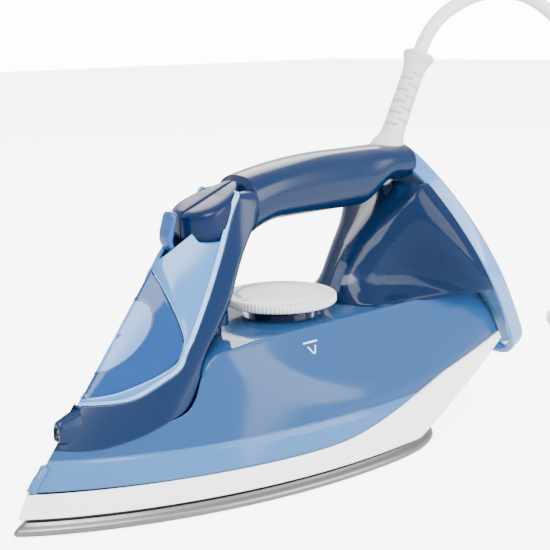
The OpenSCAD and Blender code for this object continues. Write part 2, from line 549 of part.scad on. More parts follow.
// The see-through door over the filler
module filler_door() color("cornflowerblue", 0.5) difference() {
  n = 18;
  c = 6;
  outer = [for (i = [0 : n]) let (edge = along(WINDOW, 0.05 + 0.82 * i / n), z = edge[1] + 0.5, t = tip_x(z))
    [for (k = [-c : c]) let (x = blend(t, max(t + 0.8, edge[0] - 1.8), pow(abs(k) / c, 1.1)))
      [x, sign(k) * side_y(x, z), z]]];
  inner = [for (r = outer) [for (p = r) let (f = clamp(abs(p[1]) / 3))
    [p[0] + 1.6 * (1 - f), p[1] - sign(p[1]) * 1.4 * f, p[2] - 0.3]]];
  slab(outer, inner);
  translate([hinge_x, -3, hinge_z]) rotate([-90, 0, 0]) cylinder(h = 6, r = 0.62);
}
module door_pin() color("silver") translate([hinge_x, -1.2, hinge_z]) rotate([-90, 0, 0]) cylinder(h = 2.4, r = 0.6);

module cord_guard() color("white") on_guard() difference() {
  rotate_extrude() polygon([[4.4, -5], [9.2, -5], [10, -3], [10, -1], [9.6, 2], [8, 6], [6.6, 9], [6.1, 14],
    [5.8, 44], [6.4, 49], [8.6, guard_len - 1], [8.6, guard_len], [4.4, guard_len]]);
  for (i = [0 : 9]) translate([0, 0, 13 + 3.3 * i]) rotate([0, 0, 90 * (i % 2)]) for (s = [-1, 1])
    translate([s * 7 - 2.5, -4.2, 0]) cube([5, 8.4, 1.2]);
}
module power_cord() color("whitesmoke") {
  tube(smooth_path(ROUTE, 3), cord_r, 10);
  tube(smooth_path(PLUG_ROUTE, 2), cord_r, 10);
}
module cord_coil() color("whitesmoke") translate([coil_x, 0, 0]) rotate_extrude($fn = 64)
  translate([coil_r - coil_half, 0]) square([2 * coil_half, coil_h]);
module coil_tie() color("white") translate([coil_x, coil_r, 0]) difference() {
  translate([-2.5, -coil_half - 1, 0]) cube([5, 2 * coil_half + 2, coil_h + 1]);
  translate([-3, -coil_half - 0.4, -1]) cube([6, 2 * coil_half + 0.8, coil_h + 1.4]);
}
module plug_body() color("white") translate([546, -coil_turn, plug_r]) rotate([0, 90, 0])
  rotate_extrude() polygon([[0, 0], [5, 0], [6.2, 16], [10, 20], [14, 26], [plug_r, 34],
    [plug_r, 50], [16.5, 52], [0, 52]]);
module plug_pins() color("silver") for (s = [-1, 1]) translate([598, -coil_turn + s * 9.5, plug_r])
  rotate([0, 90, 0]) cylinder(h = 19, r = 2.4);

module placed() translate([-iron_len / 2, 0, 0]) children();

placed() soleplate();
placed() heating_element();
placed() steam_chamber_cover();
placed() chamber_screws();
placed() thermostat();
placed() thermal_fuse();
placed() heat_frame();
placed() skirt();
placed() heel_base();
placed() tank_floor();
placed() water_tank();
placed() tank_deck();
placed() dial_sleeve();
placed() handle_shell();
placed() handle_liner();
placed() front_panel();
placed() lever_bed();
placed() filler_neck();
placed() filler_seal();
placed() spray_nozzle();
placed() nozzle_jet();
placed() spray_pump();
placed() boost_pump();
placed() spray_hose();
placed() boost_hose();
placed() dosing_valve();
placed() rear_housing();
placed() heel_rim();
placed() rear_cover();
placed() cover_screws();
placed() terminal_block();
placed() lead_wires();
placed() lamp_holder();
placed() indicator_lamp();
placed() lamp_lens();
placed() cord_clamp();
placed() cord_socket();
placed() cord_tail();
placed() dial_knob();
placed() dial_shaft();
placed() spray_button();
placed() boost_button();
placed() spray_spring();
placed() boost_spring();
placed() steam_lever();
placed() lever_spindle();
placed() filler_door();
placed() door_pin();
placed() cord_guard();
placed() power_cord();
placed() cord_coil();
placed() coil_tie();
placed() plug_body();
placed() plug_pins();
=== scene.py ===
"""A steam iron in blue see-through plastic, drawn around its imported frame.

Shapes are worked out in millimetres from the soleplate's nose: x runs back, y to the iron's
right as seen from above with the nose to the left, z up from the table. placed() turns them into
the frame's metres.
"""
import math

import bpy
import numpy as np
from mathutils import Matrix, Vector


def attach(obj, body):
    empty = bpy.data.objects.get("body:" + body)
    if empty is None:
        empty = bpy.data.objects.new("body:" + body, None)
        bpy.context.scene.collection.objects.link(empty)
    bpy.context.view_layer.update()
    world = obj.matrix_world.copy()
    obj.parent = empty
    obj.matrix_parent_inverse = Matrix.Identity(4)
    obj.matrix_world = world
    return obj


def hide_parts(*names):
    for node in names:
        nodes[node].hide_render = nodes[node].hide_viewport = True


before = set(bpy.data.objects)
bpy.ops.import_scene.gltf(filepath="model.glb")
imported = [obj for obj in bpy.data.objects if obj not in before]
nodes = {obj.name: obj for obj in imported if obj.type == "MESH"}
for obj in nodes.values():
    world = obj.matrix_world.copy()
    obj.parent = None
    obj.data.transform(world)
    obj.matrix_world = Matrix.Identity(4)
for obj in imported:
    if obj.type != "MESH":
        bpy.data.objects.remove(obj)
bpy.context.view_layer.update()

LENGTH = 302.0
HALF_W = 57.0
WIDE_X = 175.95
SOLE_LEN = 230.0
DECK_Z = 71.0
LEAN = math.radians(27.4)
HEEL_TOP_X = LENGTH - 120 * math.tan(LEAN)
RIM_DEPTH = 10.0
RAKE = math.atan(0.77)
DIAL_X, DIAL_Z, DIAL_R, DIAL_T = 154.5, 77.1, 28.5, 4.4
PRINT_Z = DIAL_Z + DIAL_T + 0.06
PIVOT = (74.4, 0.0, 100.0)
CORD_D = 7.6
COIL_X, COIL_R = 488.0, 45.6
COIL_TURNS = 5
BUTTON_X, BUTTON_LEN, BUTTON_HALF = 94.0, 33.0, 15.5
BUTTON_FOOT, BUTTON_BROW, BUTTON_RISE = 116.4, 127.5, 13.0
GUARD_FOOT = (233, 0, 146)
SLOT_PITCH = 3.3
CREASE_Z = 29.5

SEAM = [[20.6, 34], [36.8, 33.5], [53, 37], [65.5, 41.6], [74, 44.8], [79, 50], [83, 58]]
POST_EDGE = [[83, 58], [90, 69], [98, 80], [105, 90], [109.5, 100], [115, 110], [121, 118], [128, 126],
             [131, 132], [131, 137.5]]
PANEL = [[32.4, 51.2], [46.7, 51.4], [56.3, 53], [67.4, 58.4], [76, 63.6], [80.8, 71], [85.1, 77.2],
         [94.9, 93.7], [104, 110.5], [112.5, 127.5], [118.6, 137.2]]
WINDOW = [[36, 53.2], [47, 54.6], [56, 57.2], [67, 61.4], [75.2, 66.2], [79.8, 74], [80.2, 82],
          [79, 92], [77.8, 99.6], [77, 105], [78.6, 108]]
ROUTE = [[248, 0, 175], [253, 0, 185], [258, 0, 194.5], [263, 0, 203], [271, 0, 211.5], [281, 0, 218],
         [293, 0, 223], [306, -1, 227], [320, -4, 229], [334, -8, 228], [347, -13, 223], [359, -19, 213],
         [368, -25, 199], [374, -31, 181], [377.5, -36, 160], [379, -40, 138], [379.5, -43.5, 115],
         [380, -46.5, 92], [380.5, -49, 70], [382, -51, 50], [385.5, -52.4, 32], [391.5, -53, 17.5],
         [400, -53.2, 8.4], [411, -53.2, 4.6], [424, -53.2, 3.8], [440, -53.2, 3.8],
         [456, -53.2, 3.8], [472, -53.2, 3.8]]
PLUG_ROUTE = [[488, -53.2, 11.4], [501, -53.2, 11.8], [514, -53.2, 13], [526, -53.2, 15],
              [536, -53.2, 16.8], [545.6, -53.2, 17.5]]


# ---------------------------------------------------------------- shapes shared by the pieces
def placed(points):
    """Frame metres from nose millimetres: x less half the length, all over 1000."""
    p = np.asarray(points, float)
    return np.stack([p[..., 0] - LENGTH / 2, p[..., 1], p[..., 2]], -1) / 1000


def clamp(v):
    """The value kept from 0 to 1."""
    return np.clip(v, 0, 1)


def ease(v):
    """3 v squared less 2 v cubed, for v from 0 to 1."""
    v = clamp(v)
    return v * v * (3 - 2 * v)


def smooth_min(a, b, k):
    """The smaller of a and b with the corner rounded over k: -k ln(exp(-a/k) + exp(-b/k))."""
    return -k * np.logaddexp(-a / k, -b / k)


def along(points, t):
    """A smooth line through points at shares t of their count: the Catmull-Rom cubic of the four nearest."""
    p = np.asarray(points, float)
    p = np.vstack([2 * p[:1] - p[1:2], p, 2 * p[-1:] - p[-2:-1]])
    t = np.asarray(t, float) * (len(points) - 1)
    i = np.clip(np.floor(t).astype(int), 0, len(points) - 2)
    f = (t - i)[..., None]
    a, b, c, d = p[i], p[i + 1], p[i + 2], p[i + 3]
    return 0.5 * (2 * b + (c - a) * f + (2 * a - 5 * b + 4 * c - d) * f ** 2
                  + (3 * b - a - 3 * c + d) * f ** 3)


def plan(t):
    """The plan of the nose, 0 at the tip and 1 at the widest station: (1 - (1 - t) squared) to the 0.88."""
    return (1 - (1 - clamp(t)) ** 2) ** 0.88


def tip_x(z):
    """The front ridge: x grows 0.77 for each millimetre of rise."""
    return 8 + 0.77 * (z - 16.5)


def rear_w(x):
    """Half width behind the widest station: it narrows with the square of the run."""
    return HALF_W - 0.0008 * np.maximum(0, x - WIDE_X) ** 2


def side_y(x, z):
    """Half width of the leaning side: its wide part times the nose plan, started at the ridge."""
    return (rear_w(x) - 1 - 0.19 * (z - 8)) * plan((x - tip_x(z)) / (WIDE_X - tip_x(z)))


def tank_y(x, z):
    """Half width of the tank: the side, or the sloping shoulder above it where that is narrower."""
    return smooth_min(side_y(x, z), 30 + 17 * (np.maximum(0, 72 - z) / 27) ** 1.2, 1.6)


def crown(z):
    """The half width under the grip's rounded top: an ellipse 13 high above 128, and freely wider below."""
    return 18 * np.sqrt(np.maximum(0.02, 1 - (np.maximum(0, z - 128) / 13) ** 2)) + np.maximum(0, 128 - z)


def post_y(x, z):
    """Half width of the front post: the side, rounded in towards its rear edge."""
    wide = 25.5 - 9.5 * ease((z - 96) / 46)
    return smooth_min(smooth_min(side_y(x, z), wide, 1.2), crown(z), 0.5)


def heel_x(z):
    """The heel plane, which leans forward as it rises."""
    return HEEL_TOP_X + (152 - z) * math.tan(LEAN)


def heel_y(z):
    """Half width of the heel arch: a power of a sine above, a round corner below."""
    arch = 46.3 * np.sin(np.pi / 2 * clamp((152 - z) / 92)) ** 0.63
    foot = 32.3 + np.sqrt(np.maximum(0, 196 - np.maximum(0, 46 - z) ** 2))
    return np.where(z > 60, arch, np.where(z > 46, 46.3, foot))


def shell_end(z):
    """Where the shells meet the heel rim's front edge."""
    return heel_x(z) - RIM_DEPTH / math.cos(LEAN) - 0.4


def drawn_back(x, z):
    """x with the last stretch pulled out to meet the heel plane, with the square of the run."""
    return x + (shell_end(z) - shell_end(DECK_Z)) * (np.maximum(0, x - 198) / 72) ** 2


def skirt_low(x):
    return 8 + 0.385 * np.maximum(0, x - 198)


def skirt_top(x):
    """The skirt's top edge: level at first, then rising in a soft bend that flattens past 225."""
    return 17.8 + 2.2 * np.log1p(np.exp((x - 152) / 9)) - 0.09 * np.maximum(0, x - 225)


def sole_outline(inset, n=160):
    """The soleplate's edge from the tip round to the tip, drawn in by an inset."""
    t = np.linspace(0, 1, n)
    front = np.stack([inset * 1.6 + t * (WIDE_X - inset * 1.6), (HALF_W - inset) * plan(t)], -1)
    a = np.linspace(0, np.pi / 2, n // 2)[1:]
    rear = np.stack([WIDE_X + (SOLE_LEN - WIDE_X - inset) * np.sin(a) ** 0.9,
                     (HALF_W - inset) * np.maximum(1e-4, np.cos(a)) ** 0.45], -1)
    half = np.vstack([front, rear])
    half[-1, 1] = 0
    return np.vstack([half, (half * [1, -1])[-2:0:-1]])


# ---------------------------------------------------------------- mesh and piece helpers
def grid_piece(name, points, material, body="root", stands_for=(), loop_u=False,
               loop_v=False, wall=0.0, bevel=0.0, inside=None, weld=False):
    """A piece from a grid of points (rows by columns, in nose millimetres), with one quad between
    each four neighbours. inside is a point that its faces look away from. wall gives it a thickness."""
    p = placed(points)
    n, m = p.shape[:2]
    rows = np.arange(n if loop_u else n - 1)
    cols = np.arange(m if loop_v else m - 1)
    i, j = np.meshgrid(rows, cols, indexing="ij")
    i2, j2 = (i + 1) % n, (j + 1) % m
    quads = np.stack([i * m + j, i2 * m + j, i2 * m + j2, i * m + j2], -1).reshape(-1, 4)
    flat = p.reshape(-1, 3)
    if inside is not None:
        q = flat[quads]
        normal = np.cross(q[:, 2] - q[:, 0], q[:, 3] - q[:, 1])
        if ((q.mean(1) - placed(inside)) * normal).sum() < 0:
            quads = quads[:, ::-1]
    mesh = bpy.data.meshes.new(name)
    mesh.from_pydata(flat.tolist(), [], quads.tolist())
    uv = mesh.uv_layers.new(name="UVMap")
    u = np.repeat(np.linspace(0, 1, n), m)
    v = np.tile(np.linspace(0, 1, m), n)
    loops = np.zeros(len(mesh.loops), np.int32)
    mesh.loops.foreach_get("vertex_index", loops)
    uv.data.foreach_set("uv", np.stack([u[loops], v[loops]], -1).astype(np.float32).ravel())
    return finished(name, mesh, material, body, stands_for, wall, bevel, weld)


def finished(name, mesh, material, body="root", stands_for=(), wall=0.0, bevel=0.0,
             weld=False):
    """Shades a mesh smooth, adds its modifiers, parents the piece to its body and hides the CAD nodes it
    stands for.
    """
    mesh.polygons.foreach_set("use_smooth", np.ones(len(mesh.polygons), bool))
    o = bpy.data.objects.new(name, mesh)
    bpy.context.scene.collection.objects.link(o)
    mesh.materials.append(material)
    if weld:
        m = o.modifiers.new("weld", "WELD")
        m.merge_threshold = 1e-5
    if wall:
        m = o.modifiers.new("wall", "SOLIDIFY")
        m.thickness = wall / 1000
        m.offset = -1
        m.use_even_offset = False
    if bevel:
        m = o.modifiers.new("bevel", "BEVEL")
        m.width = bevel / 1000
        m.segments = 2
        m.limit_method = "ANGLE"
        m.angle_limit = math.radians(50)
        m.harden_normals = False
    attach(o, body)
    if stands_for:
        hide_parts(*stands_for)
    return o


def revolved(profile, centre, axis, turns=96, ripple=None):
    """Points of a profile (radius, height) carried round an axis from centre: centre + height axis
    + radius (cos a, sin a) across it. ripple(radius, height, angle) may change the radius."""
    axis = np.asarray(axis, float) / np.linalg.norm(axis)
    side = np.cross(axis, [0, 1, 0]) if abs(axis[1]) < 0.9 else np.cross(axis, [1, 0, 0])
    side /= np.linalg.norm(side)
    other = np.cross(axis, side)
    a = np.linspace(0, 2 * np.pi, turns, endpoint=False)
    r, h = np.asarray(profile, float).T
    rr, aa = np.meshgrid(r, a, indexing="ij")
    hh = np.repeat(h[:, None], turns, 1)
    if ripple is not None:
        rr = ripple(rr, hh, aa)
    return np.asarray(centre, float) + hh[..., None] * axis + rr[..., None] * (
        np.cos(aa)[..., None] * side + np.sin(aa)[..., None] * other)


def tube_points(path, radius, sides=16):
    """A round tube on a path: at each point a ring across the direction, carried on without twist."""
    path = np.asarray(path, float)
    d = np.gradient(path, axis=0)
    d /= np.linalg.norm(d, axis=1)[:, None]
    up = np.array([0.0, 1.0, 0.0])
    frames = []
    for k in range(len(path)):
        up = up - d[k] * (up @ d[k])
        up /= np.linalg.norm(up)
        frames.append(up)
    b = np.array(frames)
    c = np.cross(d, b)
    a = np.linspace(0, 2 * np.pi, sides, endpoint=False)
    r = np.broadcast_to(np.asarray(radius, float), (len(path),))[:, None, None]
    return path[:, None] + r * (np.cos(a)[None, :, None] * b[:, None] + np.sin(a)[None, :, None] * c[:, None])


# ---------------------------------------------------------------- materials
def node_group(name, inputs, outputs):
    """An empty shader node group with named sockets: (kind, name, value) in, (kind, name) out."""
    g = bpy.data.node_groups.new(name, "ShaderNodeTree")
    for kind, label, value in inputs:
        s = g.interface.new_socket(name=label, in_out="INPUT", socket_type="NodeSocket" + kind)
        s.default_value = value
    for kind, label in outputs:
        g.interface.new_socket(name=label, in_out="OUTPUT", socket_type="NodeSocket" + kind)
    return g, g.nodes.new("NodeGroupInput"), g.nodes.new("NodeGroupOutput")


def math_node(tree, op, a, b=None, c=None):
    """A Math node with each input given as a socket or a number."""
    n = tree.nodes.new("ShaderNodeMath")
    n.operation = op
    for k, v in enumerate((a, b, c)):
        if v is None:
            continue
        if isinstance(v, (int, float)):
            n.inputs[k].default_value = v
        else:
            tree.links.new(v, n.inputs[k])
    return n.outputs[0]


def moulded_surface_group():
    """Moulded plastic: a fine grain and a slow flow mottle on Object coordinates. Puts out a roughness,
    a height and a mask of the colour's variation."""
    g, i, o = node_group("moulded_surface", [("Float", "Roughness", 0.2), ("Float", "Grain Scale", 900.0),
                                             ("Float", "Mottle Scale", 22.0)],
                         [("Float", "Roughness"), ("Float", "Height"), ("Float", "Mottle")])
    t = g.nodes.new("ShaderNodeTexCoord")
    fine = g.nodes.new("ShaderNodeTexNoise")
    slow = g.nodes.new("ShaderNodeTexNoise")
    fine.inputs["Detail"].default_value = 3
    slow.inputs["Detail"].default_value = 2
    for n, label in ((fine, "Grain Scale"), (slow, "Mottle Scale")):
        g.links.new(t.outputs["Object"], n.inputs["Vector"])
        g.links.new(i.outputs[label], n.inputs["Scale"])
    spread = math_node(g, "MULTIPLY_ADD", slow.outputs["Fac"], 0.16, -0.08)
    g.links.new(math_node(g, "ADD", i.outputs["Roughness"], spread), o.inputs["Roughness"])
    g.links.new(fine.outputs["Fac"], o.inputs["Height"])
    g.links.new(slow.outputs["Fac"], o.inputs["Mottle"])
    return g


def scuff_group():
    """Light handling marks: stretched noise cut to sparse hairlines, as a mask."""
    g, i, o = node_group("hairline_scuffs", [("Float", "Scale", 60.0), ("Float", "Amount", 0.1)],
                         [("Float", "Mask")])
    t = g.nodes.new("ShaderNodeTexCoord")
    m = g.nodes.new("ShaderNodeMapping")
    m.inputs["Rotation"].default_value = (0.3, 0.2, 0.9)
    m.inputs["Scale"].default_value = (1.0, 14.0, 6.0)
    n = g.nodes.new("ShaderNodeTexNoise")
    n.inputs["Detail"].default_value = 4
    g.links.new(t.outputs["Object"], m.inputs["Vector"])
    g.links.new(m.outputs["Vector"], n.inputs["Vector"])
    g.links.new(i.outputs["Scale"], n.inputs["Scale"])
    cut = math_node(g, "SUBTRACT", n.outputs["Fac"], 0.62)
    cut = math_node(g, "MULTIPLY", cut, 9.0)
    cut = math_node(g, "MINIMUM", math_node(g, "MAXIMUM", cut, 0.0), 1.0)
    g.links.new(math_node(g, "MULTIPLY", cut, i.outputs["Amount"]), o.inputs["Mask"])
    return g


MOULDED = moulded_surface_group()
SCUFFS = scuff_group()


def plastic(name, colour, shade=None, roughness=0.22, grain=0.02, grain_scale=900.0, transmission=0.0,
            ior=1.46, coat=0.0, scuffs=0.06, specular=0.5, mottle_scale=22.0, subsurface=0.0):
    """A moulded plastic: base colour drifting a little towards shade, with grain, bump and scuffs."""
    m = bpy.data.materials.new(name)
    m.use_nodes = True
    t = m.node_tree
    bsdf = t.nodes["Principled BSDF"]
    bsdf.inputs["IOR"].default_value = ior
    bsdf.inputs["Transmission Weight"].default_value = transmission
    bsdf.inputs["Coat Weight"].default_value = coat
    bsdf.inputs["Coat Roughness"].default_value = 0.06
    bsdf.inputs["Specular IOR Level"].default_value = specular
    if subsurface:
        bsdf.inputs["Subsurface Weight"].default_value = subsurface
        bsdf.inputs["Subsurface Radius"].default_value = (0.6, 0.8, 1.0)
        bsdf.inputs["Subsurface Scale"].default_value = 0.004
    s = t.nodes.new("ShaderNodeGroup")
    s.node_tree = MOULDED
    s.inputs["Roughness"].default_value = roughness
    s.inputs["Grain Scale"].default_value = grain_scale
    s.inputs["Mottle Scale"].default_value = mottle_scale
    c = t.nodes.new("ShaderNodeGroup")
    c.node_tree = SCUFFS
    c.inputs["Amount"].default_value = scuffs
    mix = t.nodes.new("ShaderNodeMix")
    mix.data_type = "RGBA"
    mix.inputs["A"].default_value = (*colour, 1)
    mix.inputs["B"].default_value = (*(shade or [v * 0.88 for v in colour]), 1)
    t.links.new(s.outputs["Mottle"], mix.inputs["Factor"])
    t.links.new(mix.outputs["Result"], bsdf.inputs["Base Color"])
    t.links.new(math_node(t, "ADD", s.outputs["Roughness"], c.outputs["Mask"]), bsdf.inputs["Roughness"])
    b = t.nodes.new("ShaderNodeBump")
    b.inputs["Strength"].default_value = grain * 10
    b.inputs["Distance"].default_value = 0.00005
    t.links.new(s.outputs["Height"], b.inputs["Height"])
    t.links.new(b.outputs["Normal"], bsdf.inputs["Normal"])
    return m


def metal(name, colour, roughness=0.25, brushed=(1.0, 30.0, 30.0)):
    """A brushed metal: noise stretched along the brushing drives roughness, colour and a slight bump."""
    m = bpy.data.materials.new(name)
    m.use_nodes = True
    t = m.node_tree
    bsdf = t.nodes["Principled BSDF"]
    bsdf.inputs["Metallic"].default_value = 1
    tc = t.nodes.new("ShaderNodeTexCoord")
    mp = t.nodes.new("ShaderNodeMapping")
    mp.inputs["Scale"].default_value = brushed
    n = t.nodes.new("ShaderNodeTexNoise")
    n.inputs["Scale"].default_value = 40
    n.inputs["Detail"].default_value = 4
    t.links.new(tc.outputs["Object"], mp.inputs["Vector"])
    t.links.new(mp.outputs["Vector"], n.inputs["Vector"])
    mix = t.nodes.new("ShaderNodeMix")
    mix.data_type = "RGBA"
    mix.inputs["A"].default_value = (*colour, 1)
    mix.inputs["B"].default_value = (*[v * 0.8 for v in colour], 1)
    t.links.new(n.outputs["Fac"], mix.inputs["Factor"])
    t.links.new(mix.outputs["Result"], bsdf.inputs["Base Color"])
    rough = math_node(t, "MULTIPLY_ADD", n.outputs["Fac"], 0.16, roughness - 0.08)
    t.links.new(rough, bsdf.inputs["Roughness"])
    b = t.nodes.new("ShaderNodeBump")
    b.inputs["Strength"].default_value = 0.15
    b.inputs["Distance"].default_value = 0.00003
    t.links.new(n.outputs["Fac"], b.inputs["Height"])
    t.links.new(b.outputs["Normal"], bsdf.inputs["Normal"])
    return m


def braid(name, colour, along_count, round_count):
    """A braided cover on the tube's own UV: two sets of slanting strands, over and under by turns. The
    grooves between strands are painted darker, as shade.
    """
    m = bpy.data.materials.new(name)
    m.use_nodes = True
    t = m.node_tree
    bsdf = t.nodes["Principled BSDF"]
    bsdf.inputs["Sheen Weight"].default_value = 0.25
    bsdf.inputs["Sheen Roughness"].default_value = 0.5
    uv = t.nodes.new("ShaderNodeUVMap")
    uv.uv_map = "UVMap"
    sep = t.nodes.new("ShaderNodeSeparateXYZ")
    t.links.new(uv.outputs["UV"], sep.inputs[0])
    u = math_node(t, "MULTIPLY", sep.outputs[0], float(along_count) * math.pi * 2)
    v = math_node(t, "MULTIPLY", sep.outputs[1], float(round_count) * math.pi * 2)
    one = math_node(t, "SINE", math_node(t, "ADD", u, v))
    two = math_node(t, "SINE", math_node(t, "SUBTRACT", u, v))
    weave = math_node(t, "MAXIMUM", math_node(t, "ABSOLUTE", one), math_node(t, "ABSOLUTE", two))
    low = math_node(t, "MULTIPLY", one, two)
    height = math_node(t, "MULTIPLY_ADD", low, 0.35, weave)
    # Painted shade: where the weave's height is low, in the grooves between strands, the colour falls to 0.72
    # of itself.
    mix = t.nodes.new("ShaderNodeMix")
    mix.data_type = "RGBA"
    mix.inputs["A"].default_value = (*[c * 0.72 for c in colour], 1)
    mix.inputs["B"].default_value = (*colour, 1)
    t.links.new(math_node(t, "MINIMUM", height, 1.0), mix.inputs["Factor"])
    t.links.new(mix.outputs["Result"], bsdf.inputs["Base Color"])
    t.links.new(math_node(t, "MULTIPLY_ADD", height, -0.15, 0.85), bsdf.inputs["Roughness"])
    b = t.nodes.new("ShaderNodeBump")
    b.inputs["Strength"].default_value = 0.6
    b.inputs["Distance"].default_value = 0.0004
    t.links.new(height, b.inputs["Height"])
    t.links.new(b.outputs["Normal"], bsdf.inputs["Normal"])
    return m


def lamp_material(name, colour, strength):
    """A lit lamp: emission of one set strength, its colour drifting towards orange with noise on Object
    coordinates.
    """
    m = plastic(name, colour, roughness=0.15, transmission=0.3)
    t = m.node_tree
    bsdf = t.nodes["Principled BSDF"]
    n = t.nodes.new("ShaderNodeTexNoise")
    n.inputs["Scale"].default_value = 120
    tc = t.nodes.new("ShaderNodeTexCoord")
    t.links.new(tc.outputs["Object"], n.inputs["Vector"])
    mix = t.nodes.new("ShaderNodeMix")
    mix.data_type = "RGBA"
    mix.inputs["A"].default_value = (*colour, 1)
    mix.inputs["B"].default_value = (1.0, 0.6, 0.3, 1)
    t.links.new(n.outputs["Fac"], mix.inputs["Factor"])
    t.links.new(mix.outputs["Result"], bsdf.inputs["Emission Color"])
    bsdf.inputs["Emission Strength"].default_value = strength
    return m


def zoned(name, upper, lower, height):
    """The tank's plastic: a deeper colour above a height in metres and a paler one below, on Object z,
    changing over less than a millimetre."""
    m = plastic(name, upper, [v * 0.9 for v in upper], 0.12, 0.01, transmission=0.12, ior=1.3)
    t = m.node_tree
    bsdf = t.nodes["Principled BSDF"]
    old = bsdf.inputs["Base Color"].links[0].from_socket
    tc = t.nodes.new("ShaderNodeTexCoord")
    sep = t.nodes.new("ShaderNodeSeparateXYZ")
    t.links.new(tc.outputs["Object"], sep.inputs[0])
    over = math_node(t, "MULTIPLY", math_node(t, "SUBTRACT", sep.outputs[2], height), 1200.0)
    share = math_node(t, "MINIMUM", math_node(t, "MAXIMUM", over, 0.0), 1.0)
    mix = t.nodes.new("ShaderNodeMix")
    mix.data_type = "RGBA"
    mix.inputs["A"].default_value = (*lower, 1)
    t.links.new(share, mix.inputs["Factor"])
    t.links.new(old, mix.inputs["B"])
    t.links.new(mix.outputs["Result"], bsdf.inputs["Base Color"])
    return m


TANK_BLUE = zoned("tank_blue", (0.02, 0.07, 0.19), (0.05, 0.145, 0.34),
                  CREASE_Z / 1000)
PILLAR_BLUE = plastic("pillar_blue", (0.009, 0.035, 0.11), (0.006, 0.024, 0.085), 0.1, 0.01,
                      transmission=0.62, ior=1.2)
WINDOW_BLUE = plastic("window_blue", (0.015, 0.07, 0.24), (0.01, 0.055, 0.2), 0.06, 0.005,
                      transmission=0.3, ior=1.3)
DARK_BLUE = plastic("dark_blue", (0.0002, 0.012, 0.05), (0.0002, 0.01, 0.043), 0.2, 0.01,
                    specular=0.3, scuffs=0.0)
BUTTON_BLUE = plastic("button_blue", (0.0001, 0.008, 0.045), (0.0001, 0.007, 0.04), 0.26, 0.02,
                      specular=0.22, scuffs=0.0)
PALE_BLUE = plastic("pale_blue", (0.06, 0.19, 0.46), (0.05, 0.17, 0.42), 0.16, 0.01, transmission=0.1)
NAVY = plastic("navy", (0.02, 0.035, 0.14), roughness=0.3)
LEVER_BLUE = plastic("lever_blue", (0.012, 0.07, 0.25), roughness=0.12, transmission=0.2)
BAND_BLUE = plastic("band_blue", (0.003, 0.035, 0.12), (0.003, 0.03, 0.1), 0.16, 0.02)
MID_BLUE = plastic("mid_blue", (0.12, 0.28, 0.52), roughness=0.3)
WHITE = plastic("white_plastic", (0.9, 0.9, 0.9), (0.88, 0.88, 0.89), 0.28, 0.02, coat=0.2)
DIAL_WHITE = plastic("dial_white", (0.6, 0.61, 0.63), (0.57, 0.58, 0.6), 0.35, 0.02)
CHARCOAL = plastic("charcoal", (0.06, 0.06, 0.065), roughness=0.5, grain=0.06)
FROSTED = plastic("frosted", (0.6, 0.7, 0.82), roughness=0.35, transmission=0.4)
IVORY = plastic("ivory", (0.7, 0.67, 0.58), roughness=0.45)
SOFT_WHITE = plastic("soft_white", (0.6, 0.6, 0.6), (0.57, 0.57, 0.58), 0.55, 0.08, subsurface=0.1)
WIRE_RED = plastic("wire_cover", (0.4, 0.03, 0.03), roughness=0.5)
PRINT_GREY = plastic("print_grey", (0.16, 0.17, 0.2), roughness=0.5)
# Painted highlight: this pale blue, much paler than the panel, stands in for the light caught along the
# panel's and window's edges.
RIM_HIGHLIGHT = plastic("rim_painted_highlight", (0.2, 0.42, 0.74), roughness=0.15)
PRINT_NAVY = plastic("print_navy", (0.0003, 0.006, 0.03), roughness=0.5)
PRINT_PALE = plastic("print_pale", (0.62, 0.72, 0.85), roughness=0.45)
SOLE_METAL = metal("sole_metal", (0.2, 0.2, 0.21), 0.36, (1.0, 12.0, 12.0))
SCREW_STEEL = metal("screw_steel", (0.6, 0.6, 0.62), 0.3)
DARK_METAL = metal("dark_metal", (0.2, 0.2, 0.21), 0.45)
BRASS = metal("brass", (0.55, 0.38, 0.14), 0.3)
LAMP = lamp_material("lamp", (1.0, 0.16, 0.03), 60.0)
LAMP_GLASS = lamp_material("lamp_glass", (1.0, 0.2, 0.05), 22.0)
CORD_BRAID = braid("cord_braid", (0.8, 0.8, 0.79), 520, 8)

